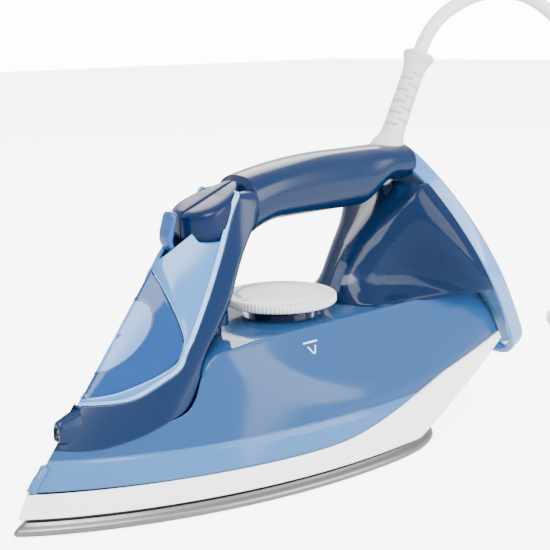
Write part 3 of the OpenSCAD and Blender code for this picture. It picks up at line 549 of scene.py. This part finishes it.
NODE_FINISH = {
    "soleplate": SOLE_METAL, "heating_element": DARK_METAL, "steam_chamber_cover": SOLE_METAL,
    "chamber_screws": SCREW_STEEL, "thermostat": IVORY, "thermal_fuse": IVORY, "heat_frame": CHARCOAL,
    "skirt": WHITE, "heel_base": WHITE, "tank_floor": TANK_BLUE, "water_tank": TANK_BLUE,
    "tank_deck": TANK_BLUE, "dial_sleeve": FROSTED, "handle_shell": DARK_BLUE, "handle_liner": PILLAR_BLUE,
    "front_panel": PALE_BLUE, "lever_bed": NAVY, "filler_neck": FROSTED, "filler_seal": SOFT_WHITE,
    "spray_nozzle": DARK_BLUE, "nozzle_jet": BRASS, "spray_pump": DARK_BLUE, "boost_pump": DARK_BLUE,
    "spray_hose": FROSTED, "boost_hose": FROSTED, "dosing_valve": WHITE, "rear_housing": PILLAR_BLUE,
    "heel_rim": PALE_BLUE, "rear_cover": MID_BLUE, "cover_screws": SCREW_STEEL, "terminal_block": IVORY,
    "lead_wires": WIRE_RED, "lamp_holder": FROSTED, "indicator_lamp": LAMP, "lamp_lens": LAMP_GLASS,
    "cord_clamp": IVORY, "cord_socket": MID_BLUE, "cord_tail": CORD_BRAID, "dial_knob": DIAL_WHITE,
    "dial_shaft": SCREW_STEEL, "spray_button": BUTTON_BLUE, "boost_button": BUTTON_BLUE,
    "spray_spring": SCREW_STEEL, "boost_spring": SCREW_STEEL, "steam_lever": LEVER_BLUE,
    "lever_spindle": NAVY, "filler_door": WINDOW_BLUE, "door_pin": SCREW_STEEL, "cord_guard": SOFT_WHITE,
    "power_cord": CORD_BRAID, "cord_coil": CORD_BRAID, "coil_tie": WHITE, "plug_body": SOFT_WHITE,
    "plug_pins": SCREW_STEEL}
for label, finish in NODE_FINISH.items():
    nodes[label].data.materials.clear()
    nodes[label].data.materials.append(finish)


# ---------------------------------------------------------------- camera
def add_camera():
    """Stands 547 mm from a point above the base, turned 41.7 degrees off the side and 12.4 down."""
    a, e, roll = math.radians(-41.66), math.radians(12.41), math.radians(-1.07)
    back = Vector((math.sin(a) * math.cos(e), -math.cos(a) * math.cos(e), math.sin(e)))
    look = Vector((0.0005, 0, 0.09087))
    data = bpy.data.cameras.new("camera")
    data.sensor_width = 36
    data.lens = 1099.76 / 550 * 36
    camera = bpy.data.objects.new("camera", data)
    bpy.context.scene.collection.objects.link(camera)
    turn = back.to_track_quat("Z", "Y").to_matrix().to_4x4()
    camera.matrix_world = Matrix.Translation(look + back * 0.54732) @ turn @ Matrix.Rotation(roll, 4, "Z")
    bpy.context.scene.camera = camera


add_camera()


# ---------------------------------------------------------------- cord
def cord_path():
    """The cord's middle line: the route from the guard, five turns of coil in two layers, and the
    lead to the plug. In the coil the radius steps in by a diameter each turn, rises, and steps out."""
    t = np.linspace(0, 1, 240)
    start = along(ROUTE + [[488, -53.2, 3.8]], t)
    turn = np.linspace(0, COIL_TURNS, COIL_TURNS * 72 + 1)[1:]
    d = CORD_D
    r = np.full_like(turn, COIL_R + d)
    for k in (0.66, 1.66):
        r -= d * ease((turn - k) / 0.34)
    for k in (3.4, 4.4):
        r += d * ease((turn - k) / 0.34)
    z = 3.8 + d * ease((turn - 2.4) / 0.45)
    a = -np.pi / 2 + 2 * np.pi * turn
    coil = np.stack([COIL_X + r * np.cos(a), r * np.sin(a), z], -1)
    end = along(PLUG_ROUTE, np.linspace(0, 1, 40)[1:])
    path = np.vstack([start, coil, end])
    s = np.concatenate([[0], np.cumsum(np.linalg.norm(np.diff(path, axis=0), axis=1))])
    even = np.linspace(0, s[-1], 1100)
    return np.stack([np.interp(even, s, path[:, k]) for k in range(3)], -1), s[-1]


path, cord_length = cord_path()
cord = grid_piece("textile_cord", tube_points(path, CORD_D / 2, 16), CORD_BRAID,
                  stands_for=("power_cord", "cord_coil"), loop_v=True)


# ---------------------------------------------------------------- body shells
def tank_points(n=221, m=49):
    """The tank's wall from the skirt to the band's seam and the deck, round the nose from heel to
    heel. Each column is a straight blend of its low and high ends; the half width is tank_y."""
    u = np.linspace(-1, 1, n)
    a = np.abs(u)
    x0 = 8.2 + 261 * a ** 1.35
    low = np.stack([x0, skirt_top(drawn_back(x0, 50)) + 0.3], -1)
    seam = along(SEAM, clamp(a / 0.42))
    top = [[83, 58], [88, 65], [98, 69], [140, 70.6], [190, 70.6], [235, 70.6], [271, 70.6]]
    high = np.where((a < 0.42)[:, None], seam, along(top, clamp((a - 0.42) / 0.58)))
    k = np.linspace(0, 1, m)[None, :, None]
    p = low[:, None] * (1 - k) + high[:, None] * k
    z = p[..., 1]
    x = np.maximum(drawn_back(p[..., 0], z), tip_x(z))
    lip = 0.9 * ease((CREASE_Z - z) / 1.2) * clamp(x / 40 - 0.6)
    y = np.sign(u)[:, None] * (tank_y(x, z) - 0.6 + lip) * (a > 0)[:, None]
    return np.stack([x, y, z], -1)


def band_points(n=161, m=25):
    """The dark band and post: each row blends the panel's edge to the seam or the post's rear edge,
    and the half width is post_y. It crosses the ridge at the middle row."""
    u = np.linspace(-1, 1, n)
    a = np.abs(u)
    front = along(PANEL, a)
    back = np.where((a < 0.5)[:, None], along(SEAM, clamp(a / 0.5)), along(POST_EDGE, clamp((a - 0.5) / 0.5)))
    k = np.linspace(0, 1, m)[None, :, None]
    p = front[:, None] * (1 - k) + back[:, None] * k
    z = p[..., 1]
    x = np.maximum(p[..., 0], tip_x(z))
    tuck = 2.8 * ease((k[..., 0] - 0.72) / 0.28) * ease((a[:, None] - 0.5) / 0.06)
    y = np.sign(u)[:, None] * (post_y(x, z) - tuck) * (a > 0)[:, None]
    return np.stack([x, y, z], -1)


def skirt_points(n=221, m=9):
    """The white skirt: rows from its low edge to its top, leaning in as it rises."""
    u = np.linspace(-1, 1, n)
    a = np.abs(u)
    xl = drawn_back(2.4 + 266 * a ** 1.35, 42)
    xt = drawn_back(7.2 + 263 * a ** 1.35, 50)
    k = np.linspace(0, 1, m)[None, :]
    z = skirt_low(xl)[:, None] * (1 - k) + skirt_top(xt)[:, None] * k
    x = xl[:, None] * (1 - k) + xt[:, None] * k
    tip = 2.4 + 4.8 * k
    w = rear_w(x) - 0.3 - 0.19 * (z - 8)
    return np.stack([x, np.sign(u)[:, None] * w * plan((x - tip) / (WIDE_X - tip)), z], -1)


def deck_points(n=90, m=41):
    """The tank's top: level across, rounded down to the wall's edge with the sixth power of the share."""
    x = np.linspace(84, 270, n)[:, None]
    v = np.linspace(-1, 1, m)[None, :]
    z = np.interp(x, [83, 88, 98, 112], [58, 65, 69, 70.6])
    y = v * (tank_y(x, z) - 0.05)
    z = z + 0.5 * (1 - np.abs(v) ** 6)
    return np.stack([np.broadcast_to(x, y.shape), y, z], -1)


def grip_points(n=80, m=48):
    """The grip: rings of a rounded box across x between its top and bottom lines. The first ring is
    drawn to a point and closes the front."""
    x = np.concatenate([[128.3, 128.3], np.linspace(128.5, 238, n)])[:, None]
    a = -np.linspace(0, 2 * np.pi, m, endpoint=False)[None, :]
    top = 150 - 0.0018 * np.maximum(0, 190 - x) ** 2
    low = np.where(x < 150, 120 - 0.012 * (150 - x) ** 2, 120 + 11 * ease((x - 205) / 20))
    w = 15.5 + 1.2 * clamp((x - 200) / 40)
    c, s = np.cos(a), np.sin(a)
    y = w * np.sign(c) * np.abs(c) ** 0.8
    z = (top + low) / 2 + (top - low) / 2 * np.sign(s) * np.abs(s) ** 0.85
    y[0], z[0] = 0, 131
    return np.stack([np.broadcast_to(x, y.shape), y, z], -1)


def outline_ring(points, edges, raise_by, n=181, m=9):
    """A band of the front surface between two outlines in (x, z), with a rounded bead at its inner edge."""
    u = np.linspace(-1, 1, n)
    a = np.abs(u)
    p, q = along(points, a), along(edges, a)
    k = np.linspace(0, 1, m)[None, :, None]
    r = p[:, None] * (1 - k) + q[:, None] * k
    z = r[..., 1]
    x = np.maximum(r[..., 0], tip_x(z))
    y = np.minimum(side_y(x, z), crown(z) + 0.15)
    bead = raise_by * np.exp(-(np.linspace(0, 1, m) / 0.3) ** 2)[None, :]
    y = np.sign(u)[:, None] * (y + bead * (y > 2) * 0.8) * (a > 0)[:, None]
    return np.stack([x - bead * 0.4, y, z + bead * 0.3], -1)


def door_points(n=61, m=41):
    """The window: rows of constant height from edge to edge over the ridge, on the front surface."""
    i = np.linspace(0.02, 0.97, n)
    e = along(WINDOW, i)
    z = (e[:, 1] + 0.2)[:, None]
    v = np.linspace(-1, 1, m)[None, :]
    t = tip_x(z)
    x = t + (np.maximum(t + 0.5, e[:, 0][:, None] - 0.7) - t) * np.abs(v) ** 1.6
    y = np.sign(v) * side_y(x, z)
    return np.stack([x, y, np.broadcast_to(z, x.shape)], -1)


def pillar_points(n=40, m=72):
    """The rear pillar: a round front, a neck and a flare to the heel arch, in level rings."""
    z = np.linspace(70.8, 130, n)[:, None]
    front = np.where(z < 100, 186 + 16 * (np.maximum(0, z - 71) / 29) ** 1.5, 202 + 1.05 * (z - 100))
    end = shell_end(z)
    k = np.linspace(-1, 1, m)[None, :]
    x = front + (end - front) * (1 - np.cos(np.pi * np.abs(k))) / 2
    neck = 15 + 13 * clamp((86 - z) / 15) ** 2
    r = neck * np.sqrt(1 - (1 - clamp((x - front) / 18)) ** 2)
    s = np.maximum(0, end - x) / 27
    y = r + np.maximum(0, heel_y(z) - 1 - r) / (1 + s ** 3)
    y = np.where(np.abs(k) < 0.02, 0, y)
    return np.stack([x, np.sign(k) * y, np.broadcast_to(z, x.shape)], -1)


def rim_points(n=200):
    """The heel rim: the arch's outline carried round a rounded bar, 3.2 thick and 10 deep."""
    z = 152 - 0.05 - 119.9 * np.linspace(0, 1, n) ** 1.7
    y = heel_y(z)
    foot = np.linspace(1, -1, 24)[1:-1]
    loop_y = np.concatenate([y, y[-1] * foot, -y[::-1]])
    loop_z = np.concatenate([z, np.full(22, z[-1]), z[::-1]])
    up = -(152 - loop_z) / math.cos(LEAN)
    line = np.stack([loop_y, up], -1)
    d = np.roll(line, -1, 0) - np.roll(line, 1, 0)
    d /= np.linalg.norm(d, axis=1)[:, None] + 1e-9
    inward = np.stack([d[:, 1], -d[:, 0]], -1)
    a = np.linspace(0, 2 * np.pi, 28, endpoint=False)
    off = 1.6 - 1.6 * np.sign(np.cos(a)) * np.abs(np.cos(a)) ** 0.4
    dep = -5 + 5 * np.sign(np.sin(a)) * np.abs(np.sin(a)) ** 0.25
    yy = line[:, None, 0] + inward[:, None, 0] * off
    uu = line[:, None, 1] + inward[:, None, 1] * off
    x = HEEL_TOP_X - uu * math.sin(LEAN) + dep * math.cos(LEAN)
    zz = 152 + uu * math.cos(LEAN) + dep * math.sin(LEAN)
    return np.stack([x, yy, zz], -1)


def sole_points():
    """The soleplate: its outline drawn in along a rolled edge profile, closed over top and bottom."""
    profile = [(40, 0.0), (12, 0.0), (3.2, 0.0), (1.6, 0.12), (0.6, 0.6), (0.1, 1.4), (0, 2.2), (0.15, 3.0),
               (0.8, 3.7), (1.8, 4.3), (2.6, 5.0), (3.0, 5.7), (3.4, 6.0), (14, 6.0), (40, 6.0)]
    rows = []
    for inset, z in profile:
        o = sole_outline(min(inset, 6))
        if inset > 6:
            c = np.array([135.0, 0])
            o = c + (o - c) * (1 - inset / 60)
        rows.append(np.column_stack([o, np.full(len(o), z)]))
    return np.array(rows)


PANEL_RIM = [[a - 1.5 * min(1, k / 2), b + 0.9] for k, (a, b) in enumerate(PANEL)]
WINDOW_RIM = [[a + 1.3 * min(1, k / 2), b - 0.7] for k, (a, b) in enumerate(WINDOW)]
LEVEL_MARK = [[[139, 64.5], [148, 64.5]], [[141, 62.8], [143.5, 59.6], [146, 62.8]]]
DROPS = [[[112, 4], [118, 4]], [[112, 6], [117, 7.2]], [[112, 2.4], [118, 1.6]]]
STEAM = [[[110, 5], [112, 3.6], [114, 6.4], [116, 5]], [[110, 8], [112, 6.6], [114, 9.4], [116, 8]]]


def stroke_points(stroke, width, n=12):
    """A printed stroke on the tank's near side, given as (x, z): its edges stand half a width to each
    side of it, 0.14 outside the wall."""
    p = along(stroke, np.linspace(0, 1, n))
    d = np.gradient(p, axis=0)
    d /= np.linalg.norm(d, axis=1)[:, None]
    q = p[:, None] + np.array([-0.5, 0.5])[None, :, None] * width * np.stack([-d[:, 1], d[:, 0]], -1)[:, None]
    return np.stack([q[..., 0], -(tank_y(q[..., 0], q[..., 1]) - 0.6 + 0.14), q[..., 1]], -1)


def pad_stroke(stroke, side, width, n=12):
    """A printed stroke on a button's sloping top, given as (x, distance from the seam)."""
    p = along(stroke, np.linspace(0, 1, n))
    d = np.gradient(p, axis=0)
    d /= np.linalg.norm(d, axis=1)[:, None]
    q = p[:, None] + np.array([-0.5, 0.5])[None, :, None] * width * np.stack([-d[:, 1], d[:, 0]], -1)[:, None]
    z = 128.46 + (q[..., 0] - BUTTON_X) * BUTTON_RISE / BUTTON_LEN
    return np.stack([q[..., 0], side * q[..., 1], z], -1)


def dial_points(turns=720):
    """The dial: a flat cap with a rolled rim and a hollow underside. Its edge is cut into 90 ribs:
    the radius drops by 0.45 times 0.5 less 0.5 cos(90 a) where it is near the full radius."""
    profile = [(4.9, 0.2), (4.9, 3.7), (26.1, 3.7), (26.1, 0.1), (27.6, 0.0), (28.3, 0.5), (28.5, 1.0),
               (28.5, 3.0), (28.3, 3.7), (27.7, 4.2), (27.0, 4.35), (26.2, 4.4), (26.0, 4.25), (25.7, 4.25),
               (25.4, 4.4), (14, 4.4), (0.02, 4.4)]
    cut = lambda r, h, a: r - 0.45 * clamp((r - 27.4) / 0.6) * (0.5 - 0.5 * np.cos(90 * a))
    return revolved(profile, (DIAL_X, 0, DIAL_Z), (0, 0, 1), turns, cut)


def arc_print(radius, start, stop, thin, thick, z, n=60):
    """A printed arc on the dial that grows from thin to thick along its run."""
    a = np.radians(np.linspace(start, stop, n))[:, None]
    half = (thin + (thick - thin) * np.linspace(0, 1, n))[:, None] / 2
    r = radius + half * np.array([[-1, 1]])
    return np.stack([DIAL_X + r * np.cos(a), r * np.sin(a), np.full(r.shape, z)], -1)


def pointer_points():
    """The dial's pointer: a small wedge printed towards the nose."""
    t = np.linspace(0, 1, 8)[:, None]
    y = (0.15 + 1.2 * t) * np.array([[-1, 0, 1]])
    x = np.broadcast_to(DIAL_X - 25.5 + 4.6 * t, y.shape)
    return np.stack([x, y, np.full(y.shape, PRINT_Z)], -1)


def button_points(side, n=44):
    """Half of the teardrop pad: sections across it from the seam up, over a crown rounded at both
    edges, and down the side. The half width is a power curve of the run t, and the top rises 13 in 33."""
    t = (1 - np.cos(np.pi * np.linspace(0.004, 0.996, n))) / 2
    w = BUTTON_HALF * np.where(t < 0.35, np.maximum(0, 1 - np.abs(1 - t / 0.35) ** 2.2) ** 0.5,
                        np.maximum(0, 1 - ((t - 0.35) / 0.65) ** 2) ** 0.7)
    x = BUTTON_X + BUTTON_LEN * t
    top = BUTTON_BROW + (x - BUTTON_X) * BUTTON_RISE / BUTTON_LEN + 0.9
    top = top - 1.6 * (1 - clamp(t / 0.09)) ** 2 - 1.5 * clamp((t - 0.93) / 0.07) ** 2
    share = np.array([0, 0, 0, 0.02, 0.06, 0.2, 0.4, 0.6, 0.76, 0.87, 0.94, 0.98, 1, 1, 1, 1])
    drop = np.array([-1, 3, 1.1, 0.4, 0.12, 0, 0, 0.05, 0.3, 0.8, 1.5, 2.3, 3.4, 5, 9, -1])
    y = 0.35 + np.maximum(0.02, w - 0.35)[:, None] * share
    z = np.where(drop < 0, BUTTON_FOOT, top[:, None] - drop)
    return np.stack([np.broadcast_to(x[:, None], y.shape), side * y, z], -1)


def in_pivot(p):
    """Points given as (up the ridge, across, out of the ridge) from the lever's pivot."""
    p = np.asarray(p, float)
    s, c = math.sin(RAKE), math.cos(RAKE)
    return np.stack([PIVOT[0] + p[..., 0] * s - p[..., 2] * c, p[..., 1],
                     PIVOT[2] + p[..., 0] * c + p[..., 2] * s], -1)


def lever_points(n=60, m=28):
    """The steam lever: rounded-box sections carried along its bent arm, closed at both ends. Each
    section is a superellipse whose halves come from the thickness and width of that station."""
    line = along([[0, -15.8], [9, -15.8], [15.5, -15.4], [18.2, -12.5], [18.4, -8], [18.6, -3], [20.5, 1.2],
                  [24, 3.4], [29, 5.2], [33.4, 6.8]], np.linspace(0, 1, n))
    k = np.linspace(0, 1, n)
    end = np.sqrt(np.maximum(1e-4, 1 - np.maximum(0, (k - 0.94) / 0.06) ** 2))
    end = end * np.sqrt(np.maximum(1e-4, clamp(k / 0.04)))
    thick = (1.4 + 0.9 * ease((k - 0.55) / 0.25)) * end
    wide = (3.6 + 0.4 * ease((k - 0.55) / 0.3)) * end
    d = np.gradient(line, axis=0)
    d /= np.linalg.norm(d, axis=1)[:, None]
    side = np.stack([-d[:, 1], d[:, 0]], -1)
    a = np.linspace(0, 2 * np.pi, m, endpoint=False)
    c, q = np.sign(np.cos(a)) * np.abs(np.cos(a)) ** 0.6, np.sign(np.sin(a)) * np.abs(np.sin(a)) ** 0.6
    flat = line[:, None] + side[:, None] * (thick[:, None] * c)[..., None]
    return in_pivot(np.stack([flat[..., 0], wide[:, None] * q, flat[..., 1]], -1))


def guard_points():
    """The cord guard: a dome, a sleeve and a flared collar. Nine pairs of slots are pressed into the
    sleeve, each pair a quarter turn from the last: the radius drops by 1.5 inside each."""
    h = np.concatenate([[-4.9, -4.9, -3, -1, 1, 3, 5, 7, 9, 10.5], np.arange(11.5, 45, 0.28),
                        [46, 47.5, 49, 51, 53, 54.4, 55.2, 55.6, 55.6, 54, 46]])
    r = np.interp(h[:-3], [-5, -4.8, -3, -1, 2, 5, 7, 9, 11, 14, 44, 49, 54.4, 55.6],
                  [9.0, 9.6, 10, 10, 9.5, 8.2, 7.1, 6.5, 6.2, 6.0, 5.75, 6.4, 8.55, 8.3])
    r = np.concatenate([r, [5.2, 4.5, 4.4]])
    r[0] = 4.5

    def slots(rr, hh, aa):
        step = (hh - 13.6) / SLOT_PITCH
        i = np.round(step)
        inside = (np.abs(step - i) < 0.2) & (i >= 0) & (i <= 9)
        turn = np.where(np.mod(i, 2) == 0, np.cos(aa), np.sin(aa))
        return rr - 1.5 * inside * (np.abs(turn) > 0.62)
    lean = np.array([math.sin(LEAN), 0, math.cos(LEAN)])
    return revolved(np.stack([r, h], -1), GUARD_FOOT, lean, 72, slots)


def nozzle_points(m=48):
    """The spray nozzle: an arch with a rounded front lip and a round bore. Rows run from inside the
    bore, over the lip and back along the outside."""
    a = np.linspace(0, 2 * np.pi, m, endpoint=False)
    bore = np.stack([np.cos(a), np.sin(a)], -1)
    arch = np.stack([3.4 * np.sign(np.cos(a)) * np.abs(np.cos(a)) ** np.where(np.sin(a) < 0, 0.25, 1.0),
                     np.where(np.sin(a) < 0, 3.6 * -np.abs(np.sin(a)) ** 0.25, 6.6 * np.abs(np.sin(a)))], -1)
    rows = []
    for x, r in ((27, 1.75), (24.6, 1.9), (23.9, 2.2)):
        rows.append(np.column_stack([np.full(m, x), bore * r * [1, 1.25] + [0, 40.9]]))
    for x, k in ((23.5, 0.62), (23.5, 0.8), (23.9, 0.92), (24.7, 0.99), (26, 1.05), (28, 1.18), (34, 1.5)):
        rows.append(np.column_stack([np.full(m, x), arch * k + [0, 40.4]]))
    return np.array(rows)


def on_ridge(shape, lift):
    """Closed plan curves given as (across, up) millimetres, laid on the front surface over the ridge:
    x and the half width follow side_y, so that each point stands lift outside it."""
    p = np.asarray(shape, float)
    across, z = p[..., 0], p[..., 1]
    t = tip_x(z)
    run = np.linspace(0, 60, 600)
    xs = t[..., None] + run
    ys = side_y(xs, z[..., None])
    ds = np.cumsum(np.hypot(np.diff(ys, axis=-1), np.diff(xs, axis=-1)), -1)
    i = np.minimum((ds < np.abs(across)[..., None]).sum(-1), 598)
    x = np.take_along_axis(xs, i[..., None], -1)[..., 0]
    y = np.take_along_axis(ys, i[..., None], -1)[..., 0]
    return np.stack([x - lift * 0.75, np.sign(across) * (y + lift * 0.5 * clamp(y)), z + lift * 0.45], -1)


def ring_on_ridge(radius, width, lift, up=78.6, turns=96, rows=5):
    """A flat ring on the front surface about the filler's middle."""
    a = np.linspace(0, 2 * np.pi, turns, endpoint=False)
    r = np.linspace(radius - width, radius, rows)[:, None]
    return on_ridge(np.stack([r * np.cos(a), up + r * np.sin(a)], -1), lift)


def liner_points(n=60, m=15):
    """The strip behind the post: from one rear edge to the other it bows back by 5 in the middle."""
    e = along(POST_EDGE, np.linspace(0.12, 0.9, n))
    z = e[:, 1][:, None]
    v = np.linspace(-1, 1, m)[None, :]
    w = post_y(e[:, 0][:, None] - 1, z) - 1.2
    x = e[:, 0][:, None] - 2.5 + (7 + 11 * ease((104 - z) / 24)) * (1 - v ** 2)
    return np.stack([x, v * w, np.broadcast_to(z + 0.0 * v, x.shape)], -1)


def sole_vents():
    """The centres of 44 steam vents under the sole, on two rows inside its outline."""
    t = np.linspace(0.1, 0.93, 22)
    x = 30 + 170 * t
    w = 41 * plan(t * 0.92 + 0.03)
    return [(float(a), float(s * b)) for a, b in zip(x, w) for s in (-1, 1)]


def discs(name, centres, radius, z, material):
    """Flat discs facing down at a height, all in one piece: 16 corners round each centre."""
    c = np.asarray(centres, float)
    a = np.linspace(0, 2 * np.pi, 16, endpoint=False)
    p = np.stack([c[:, None, 0] + radius * np.cos(a), c[:, None, 1] + radius * np.sin(a),
                  np.full((len(c), 16), z)], -1)
    mesh = bpy.data.meshes.new(name)
    faces = np.arange(len(c) * 16).reshape(len(c), 16)[:, ::-1]
    mesh.from_pydata(placed(p).reshape(-1, 3).tolist(), [], faces.tolist())
    return finished(name, mesh, material)


inside_body = (140.0, 0.0, 50.0)
grid_piece("tank_wall", tank_points(), TANK_BLUE, stands_for=("water_tank",), wall=2.2,
           inside=inside_body)
grid_piece("tank_top", deck_points(), TANK_BLUE, stands_for=("tank_deck",), wall=2.0,
           inside=inside_body)
grid_piece("band_and_post", band_points(), DARK_BLUE, stands_for=("handle_shell",),
           wall=2.2, inside=inside_body)
grid_piece("grip", grip_points(), DARK_BLUE, loop_v=True, inside=(180.0, 0.0, 135.0))
grid_piece("white_skirt", skirt_points(), WHITE, stands_for=("skirt",), wall=2.2,
           bevel=0.5, inside=inside_body)
grid_piece("front_fascia", outline_ring(WINDOW, PANEL, 0.9), PALE_BLUE, stands_for=("front_panel",),
           wall=2.0, inside=inside_body)
# The edge strips are real beads, but their pale colour is a painted highlight along the panel's and window's
# edges.
grid_piece("panel_rim", outline_ring(PANEL_RIM, PANEL, 0.7), RIM_HIGHLIGHT, wall=0.8,
           inside=inside_body)
grid_piece("window_rim", outline_ring(WINDOW, WINDOW_RIM, 0.9), RIM_HIGHLIGHT, wall=0.8,
           inside=inside_body)
grid_piece("dial_plinth",
           revolved([(19, -6), (19, 4.4), (18.5, 5.0), (17, 5.2), (0.02, 5.2)],
                    (DIAL_X, 0, DECK_Z), (0, 0, 1), 96),
           PILLAR_BLUE, stands_for=("dial_sleeve",), loop_v=True)
for k, stroke in enumerate(LEVEL_MARK):
    grid_piece("level_mark_%d" % k, stroke_points(stroke, 0.7), PRINT_PALE,
               inside=inside_body)
for side, strokes in ((-1, DROPS), (1, STEAM)):
    for k, stroke in enumerate(strokes):
        grid_piece("%s_icon_%d" % ("spray" if side < 0 else "boost", k), pad_stroke(stroke, side, 0.5),
                   PRINT_NAVY, body="spray_button" if side < 0 else "boost_button",
                   inside=(108.0, side * 6.0, 100.0))
grid_piece("window_door", door_points(), WINDOW_BLUE, body="door", stands_for=("filler_door",),
           wall=1.6, bevel=0.3, inside=inside_body)
grid_piece("filler_disc", ring_on_ridge(14.2, 13.9, 0.05), PALE_BLUE, body="door",
           loop_v=True, inside=inside_body)
grid_piece("filler_ring", ring_on_ridge(15.2, 0.8, 0.3), BAND_BLUE, body="door",
           loop_v=True, inside=inside_body)
grid_piece("rear_pillar", pillar_points(), PILLAR_BLUE, stands_for=("rear_housing",),
           wall=2.2, inside=(235.0, 0.0, 95.0))
grid_piece("heel_band", rim_points(), PALE_BLUE, stands_for=("heel_rim",), loop_u=True,
           loop_v=True)
grid_piece("post_lining", liner_points(), PILLAR_BLUE, stands_for=("handle_liner",),
           wall=1.4, inside=(90.0, 0.0, 100.0))
grid_piece("sole", sole_points(), SOLE_METAL, stands_for=("soleplate",), loop_v=True,
           inside=(140.0, 0.0, 3.0))
discs("sole_vents", sole_vents(), 1.4, 0.02, DARK_METAL)
grid_piece("ribbed_dial", dial_points(), DIAL_WHITE, body="dial", stands_for=("dial_knob",),
           loop_v=True, inside=(DIAL_X, 0.0, DIAL_Z + 3.9))
grid_piece("dial_scale", arc_print(22, 12, 168, 0.3, 3.2, PRINT_Z), PRINT_GREY, body="dial",
           inside=(DIAL_X, 0.0, 0.0))
grid_piece("dial_pointer", pointer_points(), PRINT_GREY, body="dial", inside=(DIAL_X, 0.0, 0.0))
for side, body in ((-1, "spray_button"), (1, "boost_button")):
    grid_piece(body + "_pad", button_points(side), BUTTON_BLUE, body=body, stands_for=(body,),
               loop_v=True, inside=(108.0, side * 6.0, 120.0))
grid_piece("lever_tab", lever_points(), LEVER_BLUE, body="lever", stands_for=("steam_lever",),
           loop_v=True, weld=True)
grid_piece("slotted_guard", guard_points(), SOFT_WHITE, body="guard", stands_for=("cord_guard",),
           loop_v=True)
grid_piece("nozzle_hood", nozzle_points(), DARK_BLUE, stands_for=("spray_nozzle",),
           loop_v=True)


# ---------------------------------------------------------------- floor and light
def white_to_camera(tree, lit, seen):
    """A strength for the stage: what is seen directly is brighter than what lights the object."""
    path = tree.nodes.new("ShaderNodeLightPath")
    return math_node(tree, "MULTIPLY_ADD", path.outputs["Is Camera Ray"], seen - lit, lit)


def add_stage():
    """A wide pale floor, a surround and three large lamps. Floor and surround are seen brighter than
    they light."""
    mesh = bpy.data.meshes.new("floor")
    mesh.from_pydata([(-6, -6, 0), (6, -6, 0), (6, 6, 0), (-6, 6, 0)], [], [(0, 1, 2, 3)])
    floor = bpy.data.objects.new("floor", mesh)
    bpy.context.scene.collection.objects.link(floor)
    m = bpy.data.materials.new("floor_white")
    m.use_nodes = True
    b = m.node_tree.nodes["Principled BSDF"]
    b.inputs["Base Color"].default_value = (0.93, 0.93, 0.93, 1)
    b.inputs["Roughness"].default_value = 0.7
    b.inputs["Specular IOR Level"].default_value = 0.1
    b.inputs["Emission Color"].default_value = (1, 1, 1, 1)
    m.node_tree.links.new(white_to_camera(m.node_tree, 0.0, 5.0), b.inputs["Emission Strength"])
    mesh.materials.append(m)
    world = bpy.data.worlds.new("surround")
    world.use_nodes = True
    world.node_tree.nodes["Background"].inputs[0].default_value = (1, 1, 1, 1)
    world.node_tree.links.new(white_to_camera(world.node_tree, 1.7, 14.0),
                              world.node_tree.nodes["Background"].inputs[1])
    bpy.context.scene.world = world
    for name, place, aim, size, power in (
            ("key", (-0.9, -0.9, 1.5), (0, 0, 0.05), 1.0, 55),
            ("side", (0.6, -1.6, 0.7), (0, 0, 0.08), 1.2, 42),
            ("back", (0.9, 1.1, 1.2), (0, 0, 0.1), 1.0, 26)):
        data = bpy.data.lights.new(name, "AREA")
        data.size = size
        data.energy = power
        o = bpy.data.objects.new(name, data)
        bpy.context.scene.collection.objects.link(o)
        o.location = place
        o.rotation_euler = (Vector(place) - Vector(aim)).to_track_quat("Z", "Y").to_euler()


add_stage()
